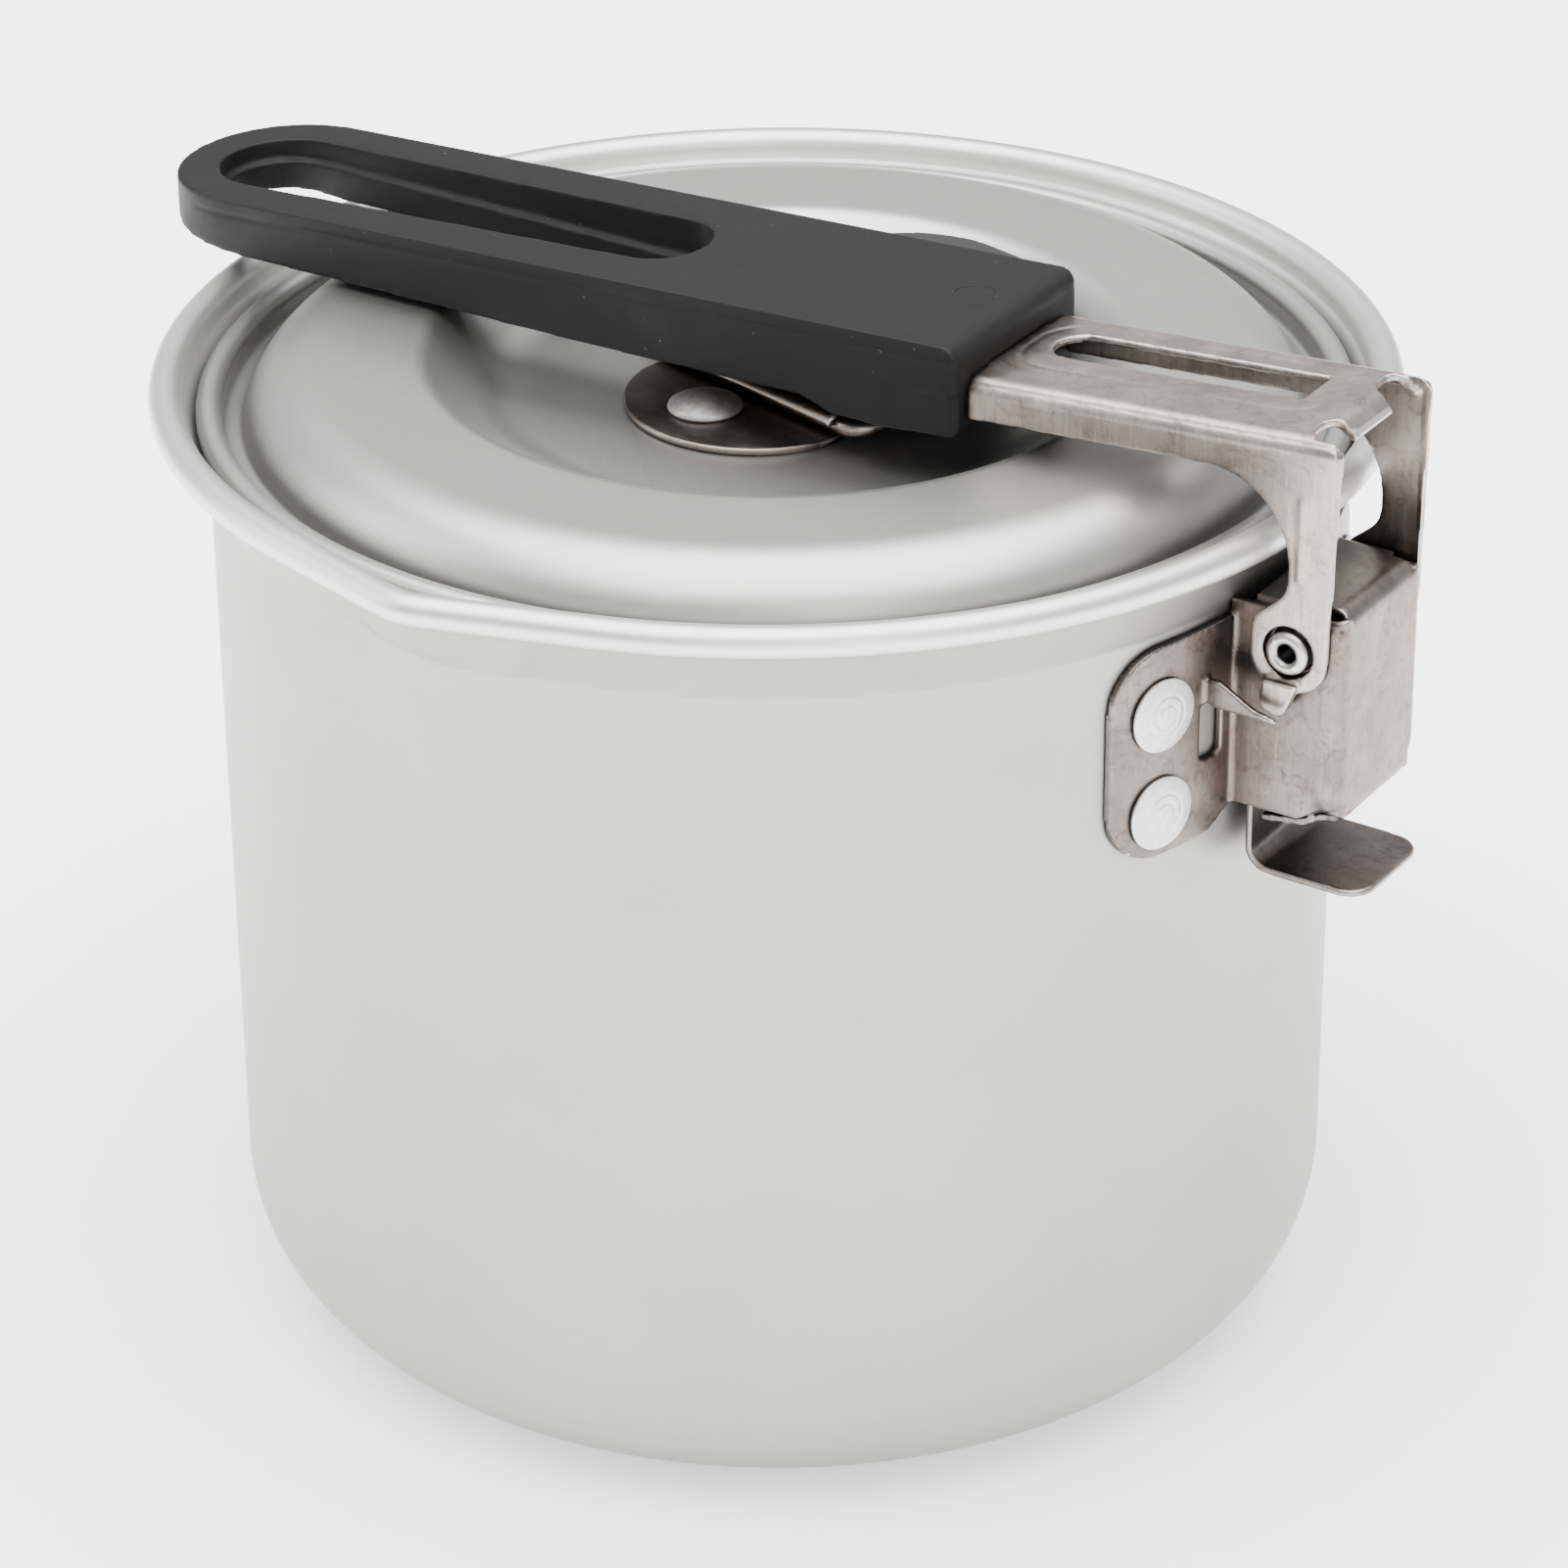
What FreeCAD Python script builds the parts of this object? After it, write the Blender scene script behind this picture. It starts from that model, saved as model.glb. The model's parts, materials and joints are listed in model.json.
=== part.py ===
import FreeCAD, Part
import math
import os
import Sketcher

# A camping pot with an inset lid, a fold-flat lid knob and a folding, locking handle.
# Millimetres. Z is up and the origin is the centre of the pot's base. The handle bracket is on +X
# and the pouring spout on -Y. The handle is folded over the lid.

DOC = FreeCAD.newDocument("CampingPot")

# ---------------------------------------------------------------------------------------------
# Driving dimensions
# ---------------------------------------------------------------------------------------------

DIMENSIONS = {
    # Pot
    "wall_radius": 69.3,
    "wall_gauge": 1.2,
    "base_corner": 17.5,
    "shoulder_height": 112.3,
    "flare_radius": 72.9,
    "flare_height": 120.3,
    "rim_radius": 74.2,
    "rim_height": 122.0,
    "rim_bead": 2.0,
    "spout_reach": 3.4,
    "spout_foot": 98.0,
    "spout_nose": 7.0,
    # Lid
    "lid_gauge": 1.0,
    "lid_bead_radius": 69.0,
    "lid_bead_height": 119.6,
    "lid_bead": 1.6,
    "lid_wall_radius": 64.9,
    "lid_groove_height": 117.4,
    "lid_top": 125.5,
    "lid_shoulder": 9.0,
    "recess_radius": 42.5,
    "recess_floor_radius": 36.5,
    "recess_floor": 119.5,
    # Stamped stainless sheet
    "sheet_gauge": 0.9,
    # Bracket
    "box_front": 83.6,
    "box_half": 10.3,
    "box_back": 69.0,
    "box_bottom": 86.8,
    "box_top": 113.3,
    "box_bend": 2.2,
    "flange_top": 114.1,
    "flange_bend": 2.4,
    "flange_neck": 8.0,
    "flange_half": 9.2,
    "flange_back": 71.6,
    "foot_back": 73.2,
    "ear_reach": 28.9,
    "ear_gap": 0.1,
    "ear_top": 111.3,
    "ear_bottom": 84.0,
    "ear_corner": 7.0,
    "ribbon_side": 15.5,
    "ribbon_reach": 78.0,
    "ribbon_top": 104.9,
    "ribbon_low": 99.3,
    "window_inner": 12.2,
    "window_outer": 15.8,
    "window_top": 101.3,
    "window_bottom": 94.0,
    # Rivets through the ears
    "rivet_angle": 18.3,
    "rivet_upper": 102.6,
    "rivet_lower": 89.9,
    "rivet_head": 4.6,
    "rivet_crown": 1.3,
    "rivet_shank": 2.2,
    "rivet_tail": 3.6,
    # Pivot
    "pivot_out": 77.4,
    "pivot_height": 109.0,
    "pivot_radius": 2.8,
    "pivot_bore": 1.5,
    "pivot_half": 12.7,
    "running_gap": 0.08,
    "eye_gap": 0.4,
    # Handle frame
    "frame_gauge": 1.0,
    "frame_half": 12.0,
    "frame_end": 83.3,
    "eye_radius": 5.0,
    "joggle": 1.1,
    "frame_start": 34.1,
    "plate_height": 136.2,
    "plate_slope": 0.065,
    "tang_half": 7.0,
    "tang_start": 8.0,
    "tongue_half": 3.6,
    "tongue_root": 5.1,
    "tongue_drop": 2.2,
    "tongue_end": 81.6,
    "notch_depth": 5.2,
    "notch_round": 2.3,
    "slot_start": 38.0,
    "slot_end": 72.5,
    "slot_half": 3.55,
    "slot_middle": 2.4,
    # Handle grip
    "grip_half": 14.2,
    "grip_end": 34.0,
    "grip_belly": 126.4,
    "grip_waist": 126.9,
    "grip_foot": 125.5,
    "grip_tip": -87.5,
    "hole_start": -82.3,
    "hole_end": -10.4,
    "hole_wide": 8.6,
    "hole_narrow": 6.6,
    "hole_ledge": 0.9,
    "ledge_height": 130.6,
    # Lock lever
    "stem_back": 70.5,
    "lever_top": 111.8,
    "lever_half": 8.0,
    "tab_height": 77.9,
    "tab_reach": 86.3,
    "cheek_outer": 8.0,
    # Lid knob
    "knob_turn": -15.0,
    "knob_across": -0.2,
    "knob_along": -5.0,
    "knob_tilt": 4.2,
    "knob_half": 20.0,
    "knob_near": 6.0,
    "knob_length": 43.5,
    "knob_round": 17.0,
    "knob_thick": 3.6,
    "wire_radius": 1.15,
    "wire_bend": 2.6,
    "wire_end": 16.0,
    "curl_half": 16.0,
    "plate_radius": 16.1,
    "plate_centre": 0.5,
    "lid_rivet_across": -1.2,
    "lid_rivet_along": -6.65,
    "lid_rivet_head": 4.6,
    "lid_rivet_shank": 1.7,
}


def make_sheet():
    """Put every driving dimension in a spreadsheet cell with an alias."""
    sheet = DOC.addObject("Spreadsheet::Sheet", "Dims")
    for row, (alias, value) in enumerate(DIMENSIONS.items(), start=1):
        cell = "B%d" % row
        sheet.set("A%d" % row, alias)
        sheet.set(cell, str(value))
        sheet.setAlias(cell, alias)
    DOC.recompute()
    return sheet


SHEET = make_sheet()


def dim(alias):
    """The number in the cell that has this alias."""
    return float(SHEET.get(alias))


def bound(text):
    """An expression in which each alias names its cell."""
    words = text.replace("(", " ( ").replace(")", " ) ").split()
    return " ".join("Dims." + word if word in DIMENSIONS else word for word in words)


def number(text):
    """The present value of an expression of aliases."""
    if isinstance(text, (int, float)):
        return float(text)
    probe = SHEET.evalExpression(bound(text))
    return float(getattr(probe, "Value", probe))


# ---------------------------------------------------------------------------------------------
# Sketches and features
# ---------------------------------------------------------------------------------------------

def new_body(label):
    body = DOC.addObject("PartDesign::Body", label)
    body.Label = label
    return body


def origin_plane(body, role):
    return next(item for item in body.Origin.OriginFeatures if item.Role == role)


def new_sketch(body, name, role, offset):
    """An empty sketch on one of the body's own origin planes, moved along its normal."""
    sketch = body.newObject("Sketcher::SketchObject", name)
    sketch.AttachmentSupport = [(origin_plane(body, role), "")]
    sketch.MapMode = "FlatFace"
    sketch.AttachmentOffset = FreeCAD.Placement(
        FreeCAD.Vector(0, 0, number(offset)), FreeCAD.Rotation()
    )
    if isinstance(offset, str):
        sketch.setExpression("AttachmentOffset.Base.z", bound(offset))
    return sketch


def bind_last(sketch, value):
    """Bind the newest constraint to its expression."""
    if isinstance(value, str):
        sketch.setExpression("Constraints[%d]" % (sketch.ConstraintCount - 1), bound(value))


def pin_point(sketch, geometry, x, y):
    """Hold a point of a sketch at x, y, each a number or an expression."""
    for kind, value in (("DistanceX", x), ("DistanceY", y)):
        constraint = Sketcher.Constraint(kind, -1, 1, geometry, 1, number(value))
        sketch.addConstraint(constraint)
        bind_last(sketch, value)


def corner_cut(before, corner, after, radius):
    """Where a round of this radius leaves the two sides of a corner."""
    to_before = (before - corner).normalize()
    to_after = (after - corner).normalize()
    half = to_before.getAngle(to_after) / 2
    reach = radius / math.tan(half)
    middle = (to_before + to_after).normalize() * (radius / math.sin(half))
    centre = corner + middle
    return corner + to_before * reach, corner + to_after * reach, centre


def add_outline(sketch, corners):
    """A closed outline of straight sides. A corner is (x, y) or (x, y, radius)."""
    places = [FreeCAD.Vector(number(c[0]), number(c[1]), 0) for c in corners]
    radii = [number(c[2]) if len(c) > 2 else 0.0 for c in corners]
    count = len(corners)
    starts = []
    ends = []
    centres = []
    for i in range(count):
        if radii[i]:
            cut = corner_cut(places[i - 1], places[i], places[(i + 1) % count], radii[i])
        else:
            cut = (places[i], places[i], places[i])
        ends.append(cut[0])
        starts.append(cut[1])
        centres.append(cut[2])
    sides = []
    for i in range(count):
        side = Part.LineSegment(starts[i], ends[(i + 1) % count])
        sides.append(sketch.addGeometry(side, False))
    for i, corner in enumerate(corners):
        point = sketch.addGeometry(Part.Point(places[i]), True)
        pin_point(sketch, point, corner[0], corner[1])
        incoming = sides[i - 1]
        outgoing = sides[i]
        if not radii[i]:
            sketch.addConstraint(Sketcher.Constraint("Coincident", incoming, 2, point, 1))
            sketch.addConstraint(Sketcher.Constraint("Coincident", outgoing, 1, point, 1))
            continue
        add_round(sketch, incoming, outgoing, point, (ends[i], starts[i], centres[i]), corner[2])


def add_round(sketch, incoming, outgoing, point, cut, radius):
    """A tangent arc between two sides whose lines cross at the point."""
    first, last, centre = cut
    first_angle = math.atan2(first.y - centre.y, first.x - centre.x)
    last_angle = math.atan2(last.y - centre.y, last.x - centre.x)
    forwards = (last_angle - first_angle) % (2 * math.pi) < math.pi
    angles = (first_angle, last_angle) if forwards else (last_angle, first_angle)
    circle = Part.Circle(centre, FreeCAD.Vector(0, 0, 1), number(radius))
    arc = sketch.addGeometry(Part.ArcOfCircle(circle, *angles), False)
    start, end = (1, 2) if forwards else (2, 1)
    sketch.addConstraint(Sketcher.Constraint("Tangent", incoming, 2, arc, start))
    sketch.addConstraint(Sketcher.Constraint("Tangent", arc, end, outgoing, 1))
    sketch.addConstraint(Sketcher.Constraint("PointOnObject", point, 1, incoming))
    sketch.addConstraint(Sketcher.Constraint("PointOnObject", point, 1, outgoing))
    sketch.addConstraint(Sketcher.Constraint("Radius", arc, number(radius)))
    bind_last(sketch, radius)


def add_circle(sketch, x, y, radius):
    centre = FreeCAD.Vector(number(x), number(y), 0)
    axis = FreeCAD.Vector(0, 0, 1)
    circle = sketch.addGeometry(Part.Circle(centre, axis, number(radius)), False)
    for kind, value in (("DistanceX", x), ("DistanceY", y)):
        sketch.addConstraint(Sketcher.Constraint(kind, -1, 1, circle, 3, number(value)))
        bind_last(sketch, value)
    sketch.addConstraint(Sketcher.Constraint("Radius", circle, number(radius)))
    bind_last(sketch, radius)


def outline_sketch(body, name, role, corners, offset=0.0):
    sketch = new_sketch(body, name, role, offset)
    add_outline(sketch, corners)
    return sketch


def pad(body, name, sketch, length, midplane=False, back=False):
    feature = body.newObject("PartDesign::Pad", name)
    feature.Profile = sketch
    feature.Length = number(length)
    if isinstance(length, str):
        feature.setExpression("Length", bound(length))
    feature.Midplane = midplane
    feature.Reversed = back
    return feature


def pocket(body, name, sketch, length, midplane=False, back=False):
    """A cut, checked to have taken material away."""
    DOC.recompute()
    before = body.Shape.Volume
    feature = body.newObject("PartDesign::Pocket", name)
    feature.Profile = sketch
    feature.Length = number(length)
    if isinstance(length, str):
        feature.setExpression("Length", bound(length))
    feature.Midplane = midplane
    feature.Reversed = back
    DOC.recompute()
    if body.Shape.Volume >= before:
        raise RuntimeError(name + " cuts nothing")
    body.Tip = feature
    return feature


def turned(body, name, sketch):
    """Revolve a sketch all the way round the vertical axis of its own plane."""
    feature = body.newObject("PartDesign::Revolution", name)
    feature.Profile = sketch
    feature.ReferenceAxis = (sketch, ["V_Axis"])
    feature.Angle = 360.0
    return feature


def mirrored(body, name, features):
    """Repeat features on the other side of the body's XZ plane."""
    feature = body.newObject("PartDesign::Mirrored", name)
    feature.Originals = features
    feature.MirrorPlane = (origin_plane(body, "XZ_Plane"), [""])
    body.Tip = feature
    return feature


def rounded(body, name, base, radius, wanted):
    """Round the edges of a feature that a test picks by their middle point and direction."""
    DOC.recompute()
    names = []
    for index, edge in enumerate(base.Shape.Edges, start=1):
        middle = edge.valueAt((edge.FirstParameter + edge.LastParameter) / 2)
        if wanted(middle, edge):
            names.append("Edge%d" % index)
    feature = body.newObject("PartDesign::Fillet", name)
    feature.Base = (base, names)
    feature.Radius = number(radius)
    if isinstance(radius, str):
        feature.setExpression("Radius", bound(radius))
    return feature


def is_along(edge, direction):
    """True where an edge is a straight line in this direction."""
    first = edge.Vertexes[0].Point
    last = edge.Vertexes[-1].Point
    run = last - first
    straight = edge.Curve.TypeId == "Part::GeomLine"
    return straight and abs(run.normalize().dot(direction)) > 0.999


def new_shape(label, shape, placement=None):
    """A piece whose shape is made directly from the sheet's numbers."""
    feature = DOC.addObject("Part::Feature", label)
    feature.Label = label
    feature.Shape = shape
    if placement is not None:
        feature.Placement = placement
    return feature


X_AXIS = FreeCAD.Vector(1, 0, 0)
Y_AXIS = FreeCAD.Vector(0, 1, 0)
Z_AXIS = FreeCAD.Vector(0, 0, 1)

# ---------------------------------------------------------------------------------------------
# Pot
# ---------------------------------------------------------------------------------------------


def only_solid(shape, label):
    """The one solid of a finished piece."""
    if len(shape.Solids) != 1:
        raise RuntimeError("%s has %d solids" % (label, len(shape.Solids)))
    return shape.Solids[0]


def revolved_profile(points, arcs):
    """A solid of revolution from radius and height pairs. arcs maps a side's index to a point
    that its arc passes through."""
    places = [FreeCAD.Vector(r, 0, z) for r, z in points]
    edges = []
    for i, place in enumerate(places):
        following = places[(i + 1) % len(places)]
        if i in arcs:
            through = FreeCAD.Vector(arcs[i][0], 0, arcs[i][1])
            edges.append(Part.Arc(place, through, following).toShape())
        else:
            edges.append(Part.LineSegment(place, following).toShape())
    face = Part.Face(Part.Wire(edges))
    solid = face.revolve(FreeCAD.Vector(0, 0, 0), Z_AXIS, 360)
    if solid.Volume < 0:
        solid.reverse()
    return solid


def vessel_volume(inset):
    """The pot's outside, or with an inset its inside, as a filled solid of revolution."""
    radius = dim("wall_radius") - inset
    corner = dim("base_corner") - inset
    foot = inset
    diagonal = corner * math.sqrt(0.5)
    flare = dim("flare_radius") - inset
    points = [
        (0, foot),
        (radius - corner, foot),
        (radius, foot + corner),
        (radius, dim("shoulder_height")),
        (flare, dim("flare_height")),
        (flare + 0.6, dim("rim_height")),
        (0, dim("rim_height")),
    ]
    arcs = {1: (radius - corner + diagonal, foot + corner - diagonal)}
    return revolved_profile(points, arcs)


def spout_wire(radius, reach, nose, height):
    """A section of the spout: two sides that leave the wall's circle and meet in a round nose."""
    half = math.acos(radius / (radius + reach)) * 1.12
    root = radius - 0.5
    tip = FreeCAD.Vector(0, -(radius + reach), height)
    left = FreeCAD.Vector(-root * math.sin(half), -root * math.cos(half), height)
    right = FreeCAD.Vector(-left.x, left.y, height)
    first, last, centre = corner_cut(left, tip, right, nose)
    middle = centre + FreeCAD.Vector(0, -nose, 0)
    back = FreeCAD.Vector(0, -radius * 0.8, height)
    return Part.Wire([
        Part.LineSegment(left, first).toShape(),
        Part.Arc(first, middle, last).toShape(),
        Part.LineSegment(last, right).toShape(),
        Part.LineSegment(right, back).toShape(),
        Part.LineSegment(back, left).toShape(),
    ])


def spout_volume(inset):
    """The wedge that the spout adds to the pot, growing from its foot up to the rim."""
    foot = dim("spout_foot")
    rim = dim("rim_height")
    shoulder = dim("shoulder_height")
    wires = []
    for height, share in ((foot, 0.04), (shoulder, 0.5), (dim("flare_height"), 0.93), (rim, 1.0)):
        rise = max(0.0, height - shoulder) / (rim - shoulder)
        radius = dim("wall_radius") + rise * (dim("flare_radius") + 0.6 - dim("wall_radius"))
        wires.append(spout_wire(radius - inset, dim("spout_reach") * share, 4.0 * share, height))
    return Part.makeLoft(wires, True, True)


def rim_bead():
    """The rolled rim: a round bead that follows the circle and the spout."""
    radius = dim("rim_radius")
    reach = dim("spout_reach")
    nose = dim("spout_nose")
    height = dim("rim_height")
    half = math.acos(radius / (radius + reach))
    tip = FreeCAD.Vector(0, -(radius + reach), height)
    left = FreeCAD.Vector(-radius * math.sin(half), -radius * math.cos(half), height)
    right = FreeCAD.Vector(-left.x, left.y, height)
    first, last, centre = corner_cut(left, tip, right, nose)
    side = FreeCAD.Vector(radius, 0, height)
    back = FreeCAD.Vector(0, radius, height)
    far_side = FreeCAD.Vector(-radius, 0, height)
    quarter = math.sqrt(0.5) * radius
    path = Part.Wire([
        Part.Arc(side, FreeCAD.Vector(quarter, quarter, height), back).toShape(),
        Part.Arc(back, FreeCAD.Vector(-quarter, quarter, height), far_side).toShape(),
        Part.Arc(far_side, FreeCAD.Vector(-quarter, -quarter, height), left).toShape(),
        Part.LineSegment(left, first).toShape(),
        Part.Arc(first, centre + FreeCAD.Vector(0, -nose, 0), last).toShape(),
        Part.LineSegment(last, right).toShape(),
        Part.Arc(right, FreeCAD.Vector(quarter, -quarter, height), side).toShape(),
    ])
    section = Part.Wire(Part.makeCircle(dim("rim_bead"), side, Y_AXIS))
    return path.makePipeShell([section], True, True)


def rivet_seats():
    """Where each ear rivet crosses the wall: its angle in degrees and its height."""
    seats = []
    for angle in (-dim("rivet_angle"), dim("rivet_angle")):
        for height in (dim("rivet_upper"), dim("rivet_lower")):
            seats.append((angle, height))
    return seats


def rivet_holes():
    """One radial cylinder for each ear rivet."""
    holes = []
    for angle, height in rivet_seats():
        along = FreeCAD.Vector(math.cos(math.radians(angle)), math.sin(math.radians(angle)), 0)
        start = along * 60 + FreeCAD.Vector(0, 0, height)
        holes.append(Part.makeCylinder(dim("rivet_shank"), 20, start, along))
    return holes


def make_pot_shell():
    outside = vessel_volume(0.0).fuse(spout_volume(0.0))
    inside = vessel_volume(dim("wall_gauge")).fuse(spout_volume(dim("wall_gauge")))
    shell = outside.cut(inside).fuse(rim_bead()).removeSplitter()
    shell = shell.cut(Part.makeCompound(rivet_holes()))
    new_shape("pot_shell", only_solid(shell, "pot_shell"))


# ---------------------------------------------------------------------------------------------
# Bracket on the pot
# ---------------------------------------------------------------------------------------------


def ring_sector(inner, outer, bottom, top):
    """A tube round the pot's axis."""
    base = FreeCAD.Vector(0, 0, bottom)
    tube = Part.makeCylinder(outer, top - bottom, base)
    return tube.cut(Part.makeCylinder(inner, top - bottom, base))


def rounded_prism(corners, direction):
    """A straight prism on an outline whose corners are (point, radius)."""
    edges = []
    count = len(corners)
    starts = []
    ends = []
    for i, (place, radius) in enumerate(corners):
        before = corners[i - 1][0]
        after = corners[(i + 1) % count][0]
        if radius:
            first, last, centre = corner_cut(before, place, after, radius)
            bisector = (place - centre).normalize()
            edges.append(Part.Arc(first, centre + bisector * radius, last).toShape())
        else:
            first = last = place
        ends.append(first)
        starts.append(last)
    for i in range(count):
        edges.append(Part.LineSegment(starts[i], ends[(i + 1) % count]).toShape())
    wire = Part.Wire(Part.__sortEdges__(edges))
    return Part.Face(wire).extrude(direction)


def ear_volume():
    """Both ears: bent sheet on the wall, with rounded outer corners."""
    inner = dim("wall_radius") + dim("ear_gap")
    outer = inner + dim("sheet_gauge")
    bottom = dim("ear_bottom")
    top = dim("ear_top")
    sheet = ring_sector(inner, outer, bottom - 5, top + 5)
    near = dim("box_half") - dim("sheet_gauge")
    far = dim("ear_reach")
    corner = dim("ear_corner")
    ears = []
    for side in (-1, 1):
        outline = [
            (FreeCAD.Vector(50, side * near, top), 0),
            (FreeCAD.Vector(50, side * far, top), corner),
            (FreeCAD.Vector(50, side * far, bottom), corner),
            (FreeCAD.Vector(50, side * near * 1.5, bottom), 2.5),
            (FreeCAD.Vector(50, side * near, dim("box_bottom")), 0),
        ]
        ears.append(sheet.common(rounded_prism(outline, X_AXIS * 40)))
    return ears


def lance_windows():
    """The window that each ribbon leaves in its ear, with rounded corners."""
    windows = []
    top = dim("window_top")
    bottom = dim("window_bottom")
    for side in (-1, 1):
        inner = side * dim("window_inner")
        outer = side * dim("window_outer")
        windows.append(rounded_prism([
            (FreeCAD.Vector(60, inner, bottom), 1.2),
            (FreeCAD.Vector(60, outer, bottom), 1.2),
            (FreeCAD.Vector(60, outer, top), 0),
            (FreeCAD.Vector(60, inner, top), 0),
        ], X_AXIS * 20))
    return windows


def ribbon_volume():
    """The ribbon lanced from each ear: it stands on edge and runs out under the leg's eye."""
    root = 68.0
    reach = dim("ribbon_reach")
    top = dim("ribbon_top")
    low = dim("ribbon_low")
    outline = [
        (root, top - 0.2, 0),
        (root + 2.4, top, 1.5),
        (root + 6.9, low + 3.1, 3.0),
        (reach, low + 2.5, 0.9),
        (reach, low + 0.4, 1.0),
        (root + 6.6, low, 2.0),
        (root, low + 2.9, 0),
    ]
    ribbons = []
    for side in (-1, 1):
        corners = [(FreeCAD.Vector(x, side * dim("ribbon_side"), z), r) for x, z, r in outline]
        ribbons.append(rounded_prism(corners, Y_AXIS * -side * dim("sheet_gauge")))
    return ribbons


def box_volume():
    """The bracket's box: side walls and front plate in one bent sheet."""
    back = dim("box_back")
    front = dim("box_front")
    half = dim("box_half")
    gauge = dim("sheet_gauge")
    bend = dim("box_bend")
    bottom = dim("box_bottom")
    outline = [
        (FreeCAD.Vector(back, -half, bottom), 0),
        (FreeCAD.Vector(front, -half, bottom), bend),
        (FreeCAD.Vector(front, half, bottom), bend),
        (FreeCAD.Vector(back, half, bottom), 0),
        (FreeCAD.Vector(back, half - gauge, bottom), 0),
        (FreeCAD.Vector(front - gauge, half - gauge, bottom), bend - gauge),
        (FreeCAD.Vector(front - gauge, gauge - half, bottom), bend - gauge),
        (FreeCAD.Vector(back, gauge - half, bottom), 0),
    ]
    return rounded_prism(outline, Z_AXIS * (dim("box_top") - bottom))


def flange_volume(outer_z, inner_z, inner_x, sign):
    """A flange bent back from the front plate towards the wall, and the strip of front plate
    that its bend takes the place of. sign is -1 at the top and 1 at the bottom."""
    front = dim("box_front")
    gauge = dim("sheet_gauge")
    half = dim("flange_half")
    bend = dim("flange_bend")
    overlap = bend + 1.4
    outline = [
        (FreeCAD.Vector(front, -half, outer_z), bend),
        (FreeCAD.Vector(inner_x, -half, inner_z), 0),
        (FreeCAD.Vector(inner_x, -half, inner_z + sign * gauge), 0),
        (FreeCAD.Vector(front - gauge, -half, outer_z + sign * gauge), bend - gauge),
        (FreeCAD.Vector(front - gauge, -half, outer_z + sign * overlap), 0),
        (FreeCAD.Vector(front, -half, outer_z + sign * overlap), 0),
    ]
    flange = rounded_prism(outline, Y_AXIS * 2 * half)
    neck = dim("flange_neck")
    for start in (-neck - 4, neck):
        relief = FreeCAD.Vector(front - bend - 1.2, start, outer_z - 6)
        flange = flange.cut(Part.makeBox(10, 4, 12, relief))
    low = outer_z - 2 if sign > 0 else outer_z - bend
    corner = FreeCAD.Vector(front - gauge - 0.1, -neck, low)
    strip = Part.makeBox(gauge + 1, 2 * neck, bend + 2, corner)
    return flange, strip


def make_bracket():
    top = dim("flange_top")
    bottom = dim("box_bottom")
    bracket = box_volume()
    solids = ear_volume() + ribbon_volume()
    for flange, strip in (flange_volume(top, top, dim("flange_back"), -1),
                          flange_volume(bottom - 0.6, bottom - 2.0, dim("foot_back"), 1)):
        bracket = bracket.cut(strip)
        solids.append(flange)
    for solid in solids:
        bracket = bracket.fuse(solid)
    bore_start = FreeCAD.Vector(dim("pivot_out"), -20, dim("pivot_height"))
    bore = Part.makeCylinder(dim("pivot_radius") + 0.02, 40, bore_start, Y_AXIS)
    cuts = rivet_holes() + [bore] + lance_windows()
    bracket = bracket.cut(Part.makeCompound(cuts)).removeSplitter()
    new_shape("bracket", only_solid(bracket, "bracket"))


def crown_point(radius, low, high):
    """A point halfway up a spherical crown whose centre is on the axis."""
    rise = high - low
    ball = (radius ** 2 + rise ** 2) / (2 * rise)
    angle = math.asin(radius / ball) / 2
    return ball * math.sin(angle), high - ball + ball * math.cos(angle)


def make_rivets():
    """Ear rivets: crowned head outside, shank through ear and wall, flat tail inside."""
    seat = dim("wall_radius") + dim("ear_gap") + dim("sheet_gauge")
    inside = dim("wall_radius") - dim("wall_gauge") - 0.15
    head = dim("rivet_head")
    crown = dim("rivet_crown")
    shank = dim("rivet_shank")
    tail = dim("rivet_tail")
    for index, (angle, height) in enumerate(rivet_seats(), start=1):
        points = [
            (0, inside - 0.9),
            (tail, inside - 0.9),
            (tail, inside),
            (shank, inside),
            (shank, seat),
            (head, seat),
            (head, seat + crown * 0.55),
            (0, seat + crown),
        ]
        arcs = {6: crown_point(head, seat + crown * 0.55, seat + crown)}
        rivet = revolved_profile(points, arcs)
        rivet.rotate(FreeCAD.Vector(0, 0, 0), Y_AXIS, 90)
        rivet.rotate(FreeCAD.Vector(0, 0, 0), Z_AXIS, angle)
        rivet.translate(FreeCAD.Vector(0, 0, height))
        new_shape("bracket_rivet_%d" % index, rivet)


def make_pivot_tube():
    """The hollow rivet through both legs and both side walls."""
    body = new_body("pivot_tube")
    sketch = outline_sketch(body, "tube_section", "XY_Plane", [
        ("pivot_bore", "0 - pivot_half"),
        ("pivot_radius", "0 - pivot_half", 0.6),
        ("pivot_radius", "pivot_half", 0.6),
        ("pivot_bore", "pivot_half"),
    ])
    turned(body, "tube", sketch)
    place = FreeCAD.Vector(dim("pivot_out"), 0, dim("pivot_height"))
    body.Placement = FreeCAD.Placement(place, FreeCAD.Rotation())
    body.setExpression("Placement.Base.x", bound("pivot_out"))
    body.setExpression("Placement.Base.z", bound("pivot_height"))


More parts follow.
